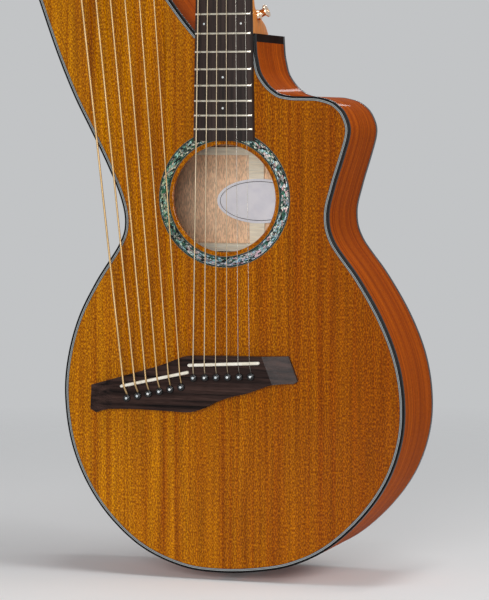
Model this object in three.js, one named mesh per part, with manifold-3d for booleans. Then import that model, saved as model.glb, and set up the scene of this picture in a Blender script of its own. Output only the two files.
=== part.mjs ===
// Harp guitar: a cutaway acoustic guitar whose hollow bass arm carries six sub-bass strings.
// Millimetres. +Z runs up the neck, +X to the treble side, +Y from the soundboard to the back.
// The origin is the front edge of the main nut, on the centreline, in the plane of the soundboard.
import * as THREE from "three";
import { mergeVertices } from "three/addons/utils/BufferGeometryUtils.js";
import Module from "manifold-3d";

const wasm = await Module();
wasm.setup();

// Driving dimensions: strings
const scaleLength = 632;
const stringCount = 6;
const nutSpread = 39.8;
const saddleSpread = 57.8;
const saddleCentreX = -0.2;
const bassNutSpread = 91.5;
const bassNutCentreX = -142.6;
const bassSaddleSpread = 58.6;
const bassSaddleCentreX = -72.3;
const mainStringDiameters = [1.35, 1.07, 0.81, 0.61, 0.46, 0.36];
const bassStringDiameters = [2, 1.85, 1.7, 1.55, 1.4, 1.3];
const windingTurns = 2;
const windingGap = 0.6;

// Driving dimensions: body
const jointZ = -316;
const bodyLength = 528.2;
const trebleLowerHalf = 180.7;
const bassLowerHalf = 169.2;
const trebleWaistHalf = 104.5;
const bassWaistHalf = 104.7;
const trebleUpperHalf = 125.2;
const cutawayDepth = 60;
const armLength = 425;
const armReach = 219.2;
const jointDepth = 98;
const tailDepth = 120;
const topThickness = 2.8;
const backThickness = 2.8;
const ribThickness = 2.2;
const liningWidth = 6;
const liningHeight = 14;
const bindingWidth = 2;
const bindingHeight = 6;
const purflingWidth = 2.3;
const purflingDepth = 1.2;
const soundHoleRadius = 52.5;
const soundHoleX = -1.1;
const soundHoleZ = -476;
const rosetteInner = 56.6;
const rosetteOuter = 67.4;
const braceWidth = 8;
const braceHeight = 14;

// Driving dimensions: neck and fretboard
const nutWidth = 46;
const boardJointWidth = 57.5;
const boardHoleMargin = 3.5;
const boardThickness = 7;
const boardRadius = 406;
const fretCount = 18;
const fretWidth = 2.2;
const fretHeight = 1;
const neckThickness = 14.5;
const heelDepth = 91;
const neckTaper = 0.25;
const heelNarrowing = 0.16;
const shaftFullness = 0.8;
const heelFullness = 0.6;
const headLength = 172;
const headThickness = 14;
const headTilt = THREE.MathUtils.degToRad(13);
const nutThickness = 5;
const nutHeight = 8.1;

// Driving dimensions: bridge and saddles
const bridgeLength = 217;
const bridgeWidth = 60;
const bridgeHeight = 8.5;
const wingTipHeight = 3.2;
const saddleThickness = 3.2;
const saddleHeight = 2.7;
const pinRadius = 3.6;
const pinHeight = 3;

// Driving dimensions: bass head
const bassHeadLength = 128;
const bassHeadThickness = 15;
const bassNutInset = 12;
const bassNutHeight = 8.2;

// Driving dimensions: tuning machines
const tunerSpacing = 36;
const firstTuner = 44;
const columnHalf = 22.5;
const bassColumnHalf = 35.4;
const bassColumnSlant = THREE.MathUtils.degToRad(14);
const headMargin = 15;
const gearTeeth = 14;
const gearModule = 0.75;
const gearThickness = 2.4;
const wormRadius = 1.9;
const wormLength = 8.4;
const shaftRadius = 1.2;
const postRadius = 2.8;
const postHeight = 13;
const plateThickness = 1.2;
const plateWidth = 16;
const knobLength = 14;
const knobWidth = 17;
const knobThickness = 8;

// Clearances and cutting allowances
const fit = 0.3;
const overrun = 3;
const mergeDistance = 1e-4;

// Sizes that follow from the ones above
const tailZ = jointZ - bodyLength;
const armTipZ = jointZ + armLength;
const backSlope = (tailDepth - jointDepth) / bodyLength;
const plateInset = bindingWidth + fit;
const boardTop = -(boardThickness + fit);
const boardEndZ = soundHoleZ + soundHoleRadius + boardHoleMargin;

// Depth of the back's outer face at a height z
function depthAt(z) {
  return jointDepth + backSlope * (jointZ - z);
}

// Width of the fretboard and the neck under it at a height z
function boardWidthAt(z) {
  return nutWidth + ((boardJointWidth - nutWidth) * z) / jointZ;
}

// Value at place i of n evenly spread places, centred on a middle
function spreadAt(middle, spread, i, n) {
  return middle + spread * (i / (n - 1) - 0.5);
}

// Turns a closed geometry into a solid that can be joined and cut
function solid(geometry) {
  const loose = geometry.index ? geometry.toNonIndexed() : geometry;
  const bare = new THREE.BufferGeometry();
  bare.setAttribute("position", loose.getAttribute("position"));
  const merged = mergeVertices(bare, mergeDistance);
  const made = new wasm.Manifold(
    new wasm.Mesh({
      numProp: 3,
      vertProperties: merged.attributes.position.array,
      triVerts: new Uint32Array(merged.index.array),
    }),
  );
  return made;
}

// Joins a list of solids
function join(solids) {
  return solids.reduce((whole, piece) => whole.add(piece));
}

// Turns a solid back into a geometry
function shapeOf(made) {
  const mesh = made.getMesh();
  const count = mesh.numProp;
  const places = new Float32Array(mesh.numVert * 3);
  for (let i = 0; i < mesh.numVert; i++) {
    places.set(mesh.vertProperties.subarray(i * count, i * count + 3), i * 3);
  }
  const geometry = new THREE.BufferGeometry();
  geometry.setAttribute("position", new THREE.BufferAttribute(places, 3));
  geometry.setIndex(new THREE.BufferAttribute(mesh.triVerts, 1));
  return geometry;
}

// Six times the volume that a list of triangles encloses, negative when they face inwards
function facing(points, triangles) {
  let sum = 0;
  for (let i = 0; i < triangles.length; i += 3) {
    const [a, b, c] = [0, 1, 2].map((k) => points[triangles[i + k]]);
    sum += a.dot(new THREE.Vector3().crossVectors(b, c));
  }
  return sum;
}

// Skins a row of rings, each a list of the same number of points in order round the section
function loft(rings, closed = false) {
  const count = rings[0].length;
  const points = rings.flat();
  const triangles = [];
  const spans = closed ? rings.length : rings.length - 1;
  for (let r = 0; r < spans; r++) {
    const here = r * count;
    const next = ((r + 1) % rings.length) * count;
    for (let i = 0; i < count; i++) {
      const j = (i + 1) % count;
      triangles.push(here + i, here + j, next + j, here + i, next + j, next + i);
    }
  }
  if (!closed) {
    const last = (rings.length - 1) * count;
    for (const [a, b, c] of capOf(rings[0])) {
      triangles.push(b, a, c);
    }
    for (const [a, b, c] of capOf(rings[rings.length - 1])) {
      triangles.push(last + a, last + b, last + c);
    }
  }
  if (facing(points, triangles) < 0) {
    for (let i = 0; i < triangles.length; i += 3) {
      [triangles[i], triangles[i + 1]] = [triangles[i + 1], triangles[i]];
    }
  }
  const geometry = new THREE.BufferGeometry().setFromPoints(points);
  geometry.setIndex(triangles);
  return geometry;
}

// Triangles that close a flat ring, in the ring's own order
function capOf(ring) {
  const normal = new THREE.Vector3();
  ring.forEach((p, i) => {
    normal.add(new THREE.Vector3().crossVectors(p, ring[(i + 1) % ring.length]));
  });
  const across = ring[1].clone().sub(ring[0]).normalize();
  const up = new THREE.Vector3().crossVectors(normal.normalize(), across).normalize();
  const flat = ring.map((p) => new THREE.Vector2(p.dot(across), p.dot(up)));
  return THREE.ShapeUtils.triangulateShape(flat, []);
}

// Extrudes an outline drawn in x and z from one depth y to another
function slab(outline, front, back, holes = []) {
  const shape = new THREE.Shape(outline);
  shape.holes = holes.map((hole) => new THREE.Path(hole));
  const geometry = new THREE.ExtrudeGeometry(shape, {
    depth: back - front,
    bevelEnabled: false,
    curveSegments: 1,
  });
  return geometry.rotateX(Math.PI / 2).translate(0, back, 0);
}

// Leans a geometry so that its depths follow the sloping back
function leaned(geometry) {
  const places = geometry.attributes.position;
  for (let i = 0; i < places.count; i++) {
    places.setY(i, places.getY(i) + depthAt(places.getZ(i)));
  }
  return geometry;
}

// Box between two corners
function boxBetween(low, high) {
  const size = high.clone().sub(low);
  const middle = high.clone().add(low).multiplyScalar(0.5);
  return new THREE.BoxGeometry(size.x, size.y, size.z).translate(middle.x, middle.y, middle.z);
}

// Circle of points in the plane of an outline
function circle(x, z, radius, sides) {
  return Array.from({ length: sides }, (_, i) => {
    const angle = (2 * Math.PI * i) / sides;
    return new THREE.Vector2(x + radius * Math.cos(angle), z + radius * Math.sin(angle));
  });
}

// Round rod between two points
function rod(from, to, radius, sides) {
  const along = to.clone().sub(from);
  const geometry = new THREE.CylinderGeometry(radius, radius, along.length(), sides);
  const turn = new THREE.Quaternion().setFromUnitVectors(
    new THREE.Vector3(0, 1, 0),
    along.clone().normalize(),
  );
  const middle = from.clone().add(to).multiplyScalar(0.5);
  return geometry.applyQuaternion(turn).translate(middle.x, middle.y, middle.z);
}

// Body outline. Each table gives shares of a half width across and of a length down the body,
// or up the arm, in order: neck joint, arm inner edge, arm tip, arm outer edge, lower bout, tail,
// treble side, horn and cutaway.
const armInnerShares = [
  [0.21, 0.045],
  [0.305, 0.115],
  [0.388, 0.205],
  [0.438, 0.32],
  [0.456, 0.45],
  [0.452, 0.59],
  [0.428, 0.735],
  [0.392, 0.87],
];
const armTipShares = [
  [0.372, 0.955],
  [0.42, 0.992],
  [0.53, 1],
  [0.655, 1],
  [0.79, 1],
  [0.9, 0.99],
  [0.945, 0.95],
];
const armOuterShares = [
  [0.968, 0.85],
  [0.99, 0.7],
  [1, 0.55],
  [0.998, 0.4],
  [0.975, 0.26],
  [0.934, 0.15],
  [0.882, 0.07],
];
const bassUpperShares = [
  [1.681, 0.034],
  [1.513, 0.112],
  [1.362, 0.17],
  [1.188, 0.237],
  [1.045, 0.302],
  [1, 0.35],
  [1.06, 0.39],
];
const bassLowerShares = [
  [0.8, 0.46],
  [0.914, 0.53],
  [0.982, 0.606],
  [1, 0.68],
  [0.961, 0.766],
  [0.862, 0.843],
  [0.71, 0.909],
  [0.508, 0.962],
  [0.262, 0.993],
  [0.03, 1],
];
const trebleLowerShares = [
  [0.2, 0.994],
  [0.39, 0.979],
  [0.58, 0.946],
  [0.77, 0.887],
  [0.908, 0.82],
  [0.984, 0.747],
  [1, 0.675],
  [0.965, 0.598],
  [0.878, 0.522],
  [0.752, 0.448],
];
const trebleWaistShares = [
  [1.055, 0.38],
  [1, 0.332],
  [1.058, 0.28],
];
const hornShares = [
  [0.955, 0.226],
  [0.998, 0.19],
  [1, 0.168],
  [0.959, 0.1443],
  [0.903, 0.1304],
  [0.847, 0.1225],
];
const cutawayShares = [
  [0.741, 1.023],
  [0.641, 1.015],
  [0.547, 1.01],
  [0.456, 0.98],
  [0.417, 0.942],
  [0.373, 0.875],
  [0.329, 0.78],
  [0.282, 0.625],
  [0.26, 0.438],
  [0.249, 0.312],
  [0.2436, 0.133],
];
const jointCornerShare = 0.2412;
const outlineSteps = 70;

// Points of one table, given its width and length and the direction of each
function outlinePoints(shares, width, length) {
  return shares.map(([across, along]) => {
    return new THREE.Vector2(width * across, jointZ + length * along);
  });
}

// The whole outer outline, anticlockwise seen from the front
function bodyOutline() {
  const corner = trebleUpperHalf * jointCornerShare;
  const bassCorner = new THREE.Vector2(-corner, jointZ);
  const trebleCorner = new THREE.Vector2(corner, jointZ);
  const keys = [
    bassCorner,
    ...outlinePoints(armInnerShares, -armReach, armLength),
    ...outlinePoints(armTipShares, -armReach, armLength),
    ...outlinePoints(armOuterShares, -armReach, armLength),
    ...outlinePoints(bassUpperShares, -bassWaistHalf, -bodyLength),
    ...outlinePoints(bassLowerShares, -bassLowerHalf, -bodyLength),
    ...outlinePoints(trebleLowerShares, trebleLowerHalf, -bodyLength),
    ...outlinePoints(trebleWaistShares, trebleWaistHalf, -bodyLength),
    ...outlinePoints(hornShares, trebleUpperHalf, -bodyLength),
    ...outlinePoints(cutawayShares, trebleUpperHalf, -cutawayDepth),
    trebleCorner,
  ];
  const curve = new THREE.SplineCurve(keys);
  return curve.getPoints(outlineSteps);
}

const outline = bodyOutline();

// The outline moved inwards by a distance, corner by corner
function inset(distance) {
  const count = outline.length;
  return outline.map((point, i) => {
    const before = outline[(i + count - 1) % count];
    const after = outline[(i + 1) % count];
    const first = inwardNormal(before, point);
    const second = inwardNormal(point, after);
    const share = distance / (1 + first.dot(second));
    return point.clone().addScaledVector(first.add(second), share);
  });
}

// Unit normal to the left of a step, which is inwards on an anticlockwise outline
function inwardNormal(from, to) {
  const step = to.clone().sub(from).normalize();
  return new THREE.Vector2(-step.y, step.x);
}

// Sweeps a section round the outline. A section point holds its inset, its depth,
// and true where the depth counts from the sloping back.
function swept(section) {
  const lines = section.map(([distance]) => inset(distance));
  const rings = outline.map((_, i) => {
    return section.map(([, depth, fromBack], k) => {
      const { x, y: z } = lines[k][i];
      return new THREE.Vector3(x, fromBack ? depthAt(z) + depth : depth, z);
    });
  });
  return loft(rings, true);
}

// Everything inside the outline at an inset, from one depth to the sloping back
function insideOf(distance, front, backOff) {
  const line = inset(distance);
  const flat = slab(line, front, tailDepth);
  const places = flat.attributes.position;
  const halfway = (front + tailDepth) / 2;
  for (let i = 0; i < places.count; i++) {
    if (places.getY(i) > halfway) {
      places.setY(i, depthAt(places.getZ(i)) - backOff);
    }
  }
  return solid(flat);
}

// Section of the ribs with their glued linings, grown by a clearance where a block is cut by it
function ribSection(grown = 0) {
  const face = ribThickness + grown;
  const lining = ribThickness + liningWidth + grown;
  const ledge = bindingWidth + fit;
  const top = topThickness + fit;
  const back = -(backThickness + fit);
  return [
    [0, bindingHeight + fit, false],
    [ledge, bindingHeight + fit, false],
    [ledge, top - grown, false],
    [lining, top - grown, false],
    [lining, top + liningHeight / 2 + grown, false],
    [face, top + liningHeight + grown, false],
    [face, back - liningHeight - grown, true],
    [lining, back - liningHeight / 2 - grown, true],
    [lining, back + grown, true],
    [ledge, back + grown, true],
    [ledge, -(bindingHeight + fit), true],
    [0, -(bindingHeight + fit), true],
  ];
}

// How far the cutters for the tail seam and the neck slot reach into the body
const seamReach = 24;
const slotReach = 17;

// Slot through the ribs and bindings for the neck
function neckSlot(grown, front, back) {
  const half = boardJointWidth / 2 + grown;
  return solid(
    boxBetween(
      new THREE.Vector3(-half, front, jointZ - slotReach),
      new THREE.Vector3(half, back, jointZ + overrun),
    ),
  );
}

// The two ribs: the bass one runs from the tail, up and over the arm, down to the neck
function ribs() {
  const whole = solid(swept(ribSection()));
  const seam = boxBetween(
    new THREE.Vector3(-fit / 2, -overrun, tailZ - overrun),
    new THREE.Vector3(fit / 2, tailDepth + overrun, tailZ + seamReach),
  );
  const cut = whole
    .subtract(neckSlot(fit, -overrun, tailDepth))
    .subtract(solid(seam))
    .subtract(jackHole())
    .subtract(bassHeadSlot());
  const pieces = cut.decompose();
  return pieces.sort((a, b) => a.boundingBox().min[0] - b.boundingBox().min[0]);
}

const holeSides = 40;

// Soundboard: one plate over body and arm, ledged for the binding, with hole and rosette groove
function soundboard() {
  const upper = slab(inset(bindingWidth + purflingWidth + fit), 0, topThickness);
  const lower = slab(inset(plateInset), purflingDepth + fit, topThickness);
  const hole = slab(circle(soundHoleX, soundHoleZ, soundHoleRadius, holeSides), -overrun, topThickness + overrun);
  const groove = slab(
    circle(soundHoleX, soundHoleZ, rosetteOuter + fit, holeSides),
    -overrun,
    purflingDepth + fit,
    [circle(soundHoleX, soundHoleZ, rosetteInner - fit, holeSides)],
  );
  return solid(upper).add(solid(lower)).subtract(solid(hole)).subtract(solid(groove));
}

function rosette() {
  const inner = circle(soundHoleX, soundHoleZ, rosetteInner, holeSides);
  const ring = slab(circle(soundHoleX, soundHoleZ, rosetteOuter, holeSides), 0, purflingDepth, [inner]);
  return solid(ring).subtract(boardSeat());
}

function backPlate() {
  return solid(leaned(slab(inset(plateInset), -backThickness, 0)));
}

// Binding round the top with the purfling lines beside it, open where the neck passes
function topBinding() {
  const section = [
    [0, 0],
    [bindingWidth + purflingWidth, 0],
    [bindingWidth + purflingWidth, purflingDepth],
    [bindingWidth, purflingDepth],
    [bindingWidth, bindingHeight],
    [0, bindingHeight],
  ];
  return solid(swept(section)).subtract(neckSlot(fit, -overrun, bindingHeight + overrun));
}

function backBinding() {
  const section = [
    [0, -bindingHeight, true],
    [bindingWidth, -bindingHeight, true],
    [bindingWidth, 0, true],
    [0, 0, true],
  ];
  return solid(swept(section));
}

// Bracing under the top: a crossed pair, a cross bar above the hole, a bar each side of the hole,
// a plate under the bridge and two tone bars
const crossingShare = 0.463;
const crossBarShare = 0.178;
const holeBarClearance = 7;
const crossAngle = THREE.MathUtils.degToRad(49);
const toneBarAngle = THREE.MathUtils.degToRad(62);
const bridgePlateThickness = 2.5;
const toneBarShares = [0.68, 0.8];
const bridgePlateDrop = 63.6;
const bridgePlateDepth = 67.5;
const bridgePlateBassReach = 108.5;
const bridgePlateTrebleReach = 72.3;

// A straight bar in the plane of the top, long enough to be trimmed by the ribs
function barAt(x, z, angle, front, height, width) {
  const reach = bodyLength / 2;
  const geometry = boxBetween(
    new THREE.Vector3(-width / 2, front, -reach),
    new THREE.Vector3(width / 2, front + height, reach),
  );
  return solid(geometry.rotateY(angle).translate(x, 0, z));
}

function topBracing() {
  const front = topThickness + fit;
  const crossZ = jointZ - bodyLength * crossingShare;
  const cross = [1, -1].map((s) => barAt(0, crossZ, s * crossAngle, front, braceHeight, braceWidth));
  const barZ = jointZ - bodyLength * crossBarShare;
  const crossBar = barAt(0, barZ, Math.PI / 2, front, braceHeight, braceWidth);
  const sideX = soundHoleRadius + holeBarClearance + braceWidth / 2;
  const legZ = crossZ + sideX / Math.tan(crossAngle);
  const sides = [1, -1].map((s) => {
    return solid(
      boxBetween(
        new THREE.Vector3(s * sideX - braceWidth / 2, front, legZ),
        new THREE.Vector3(s * sideX + braceWidth / 2, front + braceHeight / 2, barZ),
      ),
    );
  });
  const plateZ = crossZ - bridgePlateDrop;
  const plate = solid(
    boxBetween(
      new THREE.Vector3(-bridgePlateBassReach, front, plateZ - bridgePlateDepth),
      new THREE.Vector3(bridgePlateTrebleReach, front + bridgePlateThickness, plateZ),
    ),
  );
  const tones = toneBarShares.map((share) => {
    const z = jointZ - bodyLength * share;
    return barAt(0, z, toneBarAngle, front, braceHeight / 2, braceWidth);
  });
  const lower = soundHoleZ - soundHoleRadius;
  const belowHole = solid(
    boxBetween(
      new THREE.Vector3(-bassLowerHalf, -overrun, tailZ),
      new THREE.Vector3(trebleLowerHalf, tailDepth, lower),
    ),
  );
  const inside = insideOf(ribThickness + liningWidth + fit, front, backThickness);
  const clear = solid(
    boxBetween(
      new THREE.Vector3(-bassLowerHalf, -overrun, tailZ + tailBlockDepth + liningWidth),
      new THREE.Vector3(trebleLowerHalf, tailDepth, jointZ - neckBlockDepth - fit),
    ),
  );
  const low = join([plate, ...tones]).intersect(belowHole);
  const upperLegs = join(cross);
  return join([upperLegs, low, crossBar, ...sides]).intersect(inside).intersect(clear);
}

// Bracing on the back: four bars and the centre strip that they cross
const backBarShares = [0.217, 0.401, 0.6, 0.8];
const backBarHeight = 13;
const stripWidth = 16;
const stripThickness = 2.5;
const stripFootClearance = 18;

function backBracing() {
  const inside = insideOf(ribThickness + liningWidth + fit, topThickness, backThickness + fit);
  const bars = backBarShares.map((share) => {
    const z = jointZ - bodyLength * share;
    const front = depthAt(z) - backThickness - fit - backBarHeight;
    return barAt(0, z, Math.PI / 2, front, backBarHeight + overrun, braceWidth);
  });
  const stripFoot = tailZ + tailBlockDepth + stripFootClearance;
  const stripBack = -backThickness - fit;
  const strip = leaned(
    boxBetween(
      new THREE.Vector3(-stripWidth / 2, stripBack - stripThickness, stripFoot),
      new THREE.Vector3(stripWidth / 2, stripBack, jointZ - neckBlockDepth - fit),
    ),
  );
  return join([...bars, solid(strip)]).intersect(inside);
}

// Blocks inside the body
const tailBlockWidth = 76;
const tailBlockDepth = 18;
const neckBlockDepth = 52;

function tailBlock() {
  const half = tailBlockWidth / 2;
  const rough = solid(
    boxBetween(
      new THREE.Vector3(-half, 0, tailZ),
      new THREE.Vector3(half, tailDepth, tailZ + tailBlockDepth),
    ),
  );
  const room = insideOf(ribThickness + fit, topThickness + fit, backThickness + fit);
  return rough.intersect(room).subtract(solid(swept(ribSection(fit)))).subtract(jackHole());
}

function jackHole() {
  return solid(
    rod(
      new THREE.Vector3(jackX, jackY, tailZ - overrun),
      new THREE.Vector3(jackX, jackY, tailZ + tailBlockDepth + overrun),
      jackRadius + fit,
      turnedSides,
    ),
  );
}

// End jack in the tail block, with its nut outside the rib
const jackX = 7;
const jackY = 60;
const jackRadius = 6;
const jackNutRadius = 9.5;
const jackNutHeight = 4;
const jackBoreRadius = 3.2;
const jackLipHeight = 7;
const turnedSides = 12;

function endJack() {
  const outside = tailEdgeAt(jackX) - fit;
  const profile = [
    [jackBoreRadius, -jackLipHeight],
    [jackRadius, -jackLipHeight],
    [jackRadius, -jackNutHeight],
    [jackNutRadius, -jackNutHeight],
    [jackNutRadius, 0],
    [jackRadius, 0],
    [jackRadius, tailBlockDepth + jackNutHeight],
    [jackBoreRadius, tailBlockDepth + jackNutHeight],
    [jackBoreRadius, -jackLipHeight],
  ].map(([r, h]) => new THREE.Vector2(r, h));
  const turned = new THREE.LatheGeometry(profile, turnedSides);
  turned.rotateX(Math.PI / 2).translate(jackX, jackY, outside);
  return solid(turned);
}

// Lowest point of the outline near a place across the tail
function tailEdgeAt(x) {
  const near = outline.filter((p) => Math.abs(p.x - x) < tailBlockWidth / 2);
  return Math.min(...near.map((p) => p.y));
}

// Neck: shaft, heel and block in one piece, with the head at the top.
// Each row is a share of the way from nut to joint, and how far the heel has risen there.
const heelRiseShares = [
  [0.8, 0],
  [0.86, 0.02],
  [0.89, 0.05],
  [0.911, 0.1],
  [0.9225, 0.18],
  [0.935, 0.34],
  [0.949, 0.565],
  [0.965, 0.8],
  [0.98, 0.92],
  [0.995, 1],
  [1, 1],
];
const sectionSides = 12;
const shaftStationShares = [0.01, 0.25, 0.55];

// Share of its whole depth that the heel has reached at a height z
function heelRiseAt(z) {
  const share = Math.min(z / jointZ, 1);
  const next = heelRiseShares.findIndex(([place]) => place >= share);
  if (next === 0) {
    return 0;
  }
  const [place, low] = heelRiseShares[next - 1];
  const [nextPlace, high] = heelRiseShares[next];
  return low + ((high - low) * (share - place)) / (nextPlace - place);
}

// Half-round section of the neck at a height z, fuller and slimmer towards the cap of the heel
function neckSection(z) {
  const half = boardWidthAt(z) / 2;
  const rise = heelRiseAt(z);
  const shaftDepth = neckThickness * (1 + (neckTaper * z) / jointZ);
  const depth = shaftDepth + (heelDepth - shaftDepth) * rise;
  const fullness = shaftFullness + (heelFullness - shaftFullness) * rise;
  return Array.from({ length: sectionSides + 1 }, (_, i) => {
    const angle = (Math.PI * i) / sectionSides;
    const down = Math.sin(angle) ** fullness;
    const slim = 1 - heelNarrowing * rise * down;
    const side = Math.sign(Math.cos(angle)) * Math.abs(Math.cos(angle)) ** fullness;
    return new THREE.Vector3(half * side * slim, depth * down, z);
  });
}

function neckShaft() {
  const shares = [...shaftStationShares, ...heelRiseShares.map(([share]) => share)];
  const heights = [nutThickness + 2 * fit, ...shares.map((share) => jointZ * share)];
  return solid(loft(heights.map((z) => neckSection(z))));
}

// Block inside the body that is one piece with the heel
function neckBlock() {
  const half = boardJointWidth / 2 - fit;
  const rough = solid(
    boxBetween(
      new THREE.Vector3(-half, topThickness + fit, jointZ - neckBlockDepth),
      new THREE.Vector3(half, heelDepth, jointZ + fit),
    ),
  );
  const lowerHalf = half - bindingWidth;
  const lower = solid(
    boxBetween(
      new THREE.Vector3(-lowerHalf, heelDepth - overrun, jointZ - neckBlockDepth),
      new THREE.Vector3(lowerHalf, tailDepth, jointZ - bindingWidth - overrun),
    ),
  );
  const room = insideOf(-overrun, 0, backThickness + fit);
  const walls = solid(swept(ribSection(fit))).subtract(neckSlot(0, -overrun, tailDepth));
  return rough.add(lower.intersect(room)).subtract(walls);
}

// Frame of a head: x across, y down the head's thickness, z up its length
function headFrame(x, y, z, tilt) {
  return new THREE.Matrix4().makeRotationX(-tilt).setPosition(x, y, z);
}

const mainHead = headFrame(0, 0, 0, headTilt);
const bassHeadY = bindingHeight + fit;
const bassHead = headFrame(bassNutCentreX, bassHeadY, armTipZ - bassNutInset, 0);

// Where the main head reaches its full width, as a share of the way to the first tuner
const headShoulderShare = 0.5;

// Crown of a head, as shares of its half width and of its length
const headCrownShares = [
  [1, 0.9],
  [0.94, 0.96],
  [0.5, 0.985],
  [0, 1],
];

// Outline of a head: straight flanks beside the tuner columns, from a foot to a crown
function headOutline(foot, start, shoulder, half, topHalf, length) {
  const right = [
    [foot, start],
    [half, shoulder],
    ...headCrownShares.map(([across, along]) => [topHalf * across, length * along]),
  ];
  const left = right.slice(0, -1).map(([x, z]) => [-x, z]).reverse();
  return [...right, ...left].map(([x, z]) => new THREE.Vector2(x, z));
}

// Cuts the six post holes through a head and sets it in its frame
function drilledHead(geometry, thickness, columns, frame) {
  const holes = columns.flatMap((column) => column.posts).map(({ x, z }) => {
    return solid(
      rod(
        new THREE.Vector3(x, -overrun, z),
        new THREE.Vector3(x, thickness + overrun, z),
        postRadius + postShoulder + fit,
        postSides,
      ),
    );
  });
  const cut = solid(geometry).subtract(join(holes));
  return solid(shapeOf(cut).applyMatrix4(frame));
}

const postShoulder = 0.4;
const postSides = 8;
const mainColumns = headColumns("main", columnHalf, 0);
const bassColumns = headColumns("bass", bassColumnHalf, bassColumnSlant);

// The two columns of three tuners of a head. side is 1 on the treble side and -1 on the bass side.
function headColumns(name, half, slant) {
  return [1, -1].map((side) => {
    const middle = new THREE.Vector3(side * half, 0, firstTuner + tunerSpacing);
    const posts = [-1, 0, 1].map((k) => {
      const run = k * tunerSpacing;
      return { x: middle.x - side * run * Math.sin(slant), z: middle.z + run * Math.cos(slant) };
    });
    return { name, side, slant, middle, posts };
  });
}

function neck() {
  const flank = columnHalf + headMargin;
  const shoulder = firstTuner * headShoulderShare;
  const flat = headOutline(nutWidth / 2 + fit, 0, shoulder, flank, flank, headLength);
  const head = drilledHead(slab(flat, 0, headThickness), headThickness, mainColumns, mainHead);
  const seat = nutThickness + 2 * fit;
  const nutRoom = solid(
    boxBetween(
      new THREE.Vector3(-nutWidth, -overrun, -overrun),
      new THREE.Vector3(nutWidth, 0, seat),
    ),
  );
  return join([neckShaft(), head, neckBlock()]).subtract(nutRoom).subtract(strapScrewHole());
}

// Fretboard with a rounded top, and its frets
const boardTopSides = 4;

function boardSection(z, lift) {
  const half = boardWidthAt(z) / 2;
  const top = Array.from({ length: boardTopSides + 1 }, (_, i) => {
    const x = half * ((2 * i) / boardTopSides - 1);
    const crown = boardRadius - Math.sqrt(boardRadius ** 2 - x ** 2);
    return new THREE.Vector3(x, boardTop - lift + crown, z);
  });
  return [...top, new THREE.Vector3(half, -fit, z), new THREE.Vector3(-half, -fit, z)];
}

function fretZ(number) {
  return -scaleLength * (1 - 2 ** (-number / 12));
}

// A board wide and deep enough to clear the rosette from under the fretboard
function boardSeat() {
  const half = boardWidthAt(boardEndZ) / 2;
  return solid(
    boxBetween(
      new THREE.Vector3(-half, -boardThickness, boardEndZ),
      new THREE.Vector3(half, -fit, jointZ),
    ),
  );
}

// Board and frets in one skin: the section rises and falls again at each fret
function fretboard() {
  const rings = [boardSection(-fit, 0)];
  for (let number = 1; number <= fretCount; number++) {
    const z = fretZ(number);
    rings.push(boardSection(z + fretWidth / 2, 0));
    rings.push(boardSection(z, fretHeight));
    rings.push(boardSection(z - fretWidth / 2, 0));
  }
  rings.push(boardSection(boardEndZ, 0));
  return solid(loft(rings));
}

// Nut whose top is level at the front and falls away behind its crest
const nutCrestShare = 0.25;
const nutFallShare = 0.45;

function nutBar(middle, half, height, z) {
  const crest = z + nutThickness * nutCrestShare;
  const behind = z + nutThickness;
  const section = [
    [-fit, z],
    [-height, z],
    [-height, crest],
    [-(height - nutThickness * nutFallShare), behind],
    [-fit, behind],
  ];
  const rings = [middle - half, middle + half].map((x) => {
    return section.map(([y, along]) => new THREE.Vector3(x, y, along));
  });
  return solid(loft(rings));
}

// Bridge outline, as shares of the bridge's length and width from the scale line
const bridgeShares = [
  [-0.643, -0.5],
  [-0.648, -0.9],
  [-0.617, -0.955],
  [-0.576, -0.905],
  [-0.528, -0.882],
  [-0.399, -0.872],
  [-0.254, -0.888],
  [-0.19, -0.897],
  [-0.143, -0.885],
  [-0.079, -0.807],
  [-0.024, -0.705],
  [0.039, -0.625],
  [0.11, -0.562],
  [0.172, -0.482],
  [0.227, -0.413],
  [0.33, -0.385],
  [0.347, -0.345],
  [0.304, 0.06],
  [0.18, 0.047],
  [0.016, 0.045],
  [-0.15, 0.032],
  [-0.186, 0.017],
  [-0.238, -0.057],
  [-0.302, -0.145],
  [-0.398, -0.25],
  [-0.523, -0.378],
];
// Height of the bridge along its length: thin wings, full height between the facets
const bridgeProfileShares = [
  [-0.667, 0],
  [-0.528, 1],
  [0.205, 1],
  [0.368, 0],
];
// Ends of the saddles and of the two rows of pins
const saddleEndShares = { bass: [-0.163, -0.123], treble: [0.177, -0.057] };
const bassSaddleEndShares = { bass: [-0.489, -0.502], treble: [-0.158, -0.235] };
const pinRowShares = { bass: [-0.137, -0.328], treble: [0.135, -0.28] };
const bassPinRowShares = { bass: [-0.458, -0.693], treble: [-0.196, -0.485] };

// A place on the bridge from its shares
function onBridge([across, along]) {
  return new THREE.Vector2(bridgeLength * across, -scaleLength + bridgeWidth * along);
}

// Place i of a row between the bass end and the treble end
function inRow(ends, i) {
  const from = onBridge(ends.bass);
  return from.lerp(onBridge(ends.treble), i / (stringCount - 1));
}

// Upright bar along a saddle's slot, from one depth to another
function saddleBar(ends, front, back, width, extra) {
  const from = onBridge(ends.bass);
  const to = onBridge(ends.treble);
  const along = to.clone().sub(from).normalize();
  const side = new THREE.Vector2(-along.y, along.x).multiplyScalar(width / 2);
  const start = from.clone().addScaledVector(along, -extra);
  const end = to.clone().addScaledVector(along, extra);
  const corners = [start.clone().sub(side), end.clone().sub(side), end.add(side), start.add(side)];
  return slab(corners, front, back);
}

const bridgeTop = -(bridgeHeight + fit);
const saddleTop = bridgeTop - saddleHeight;
const slotDepth = bridgeHeight / 2;

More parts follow.
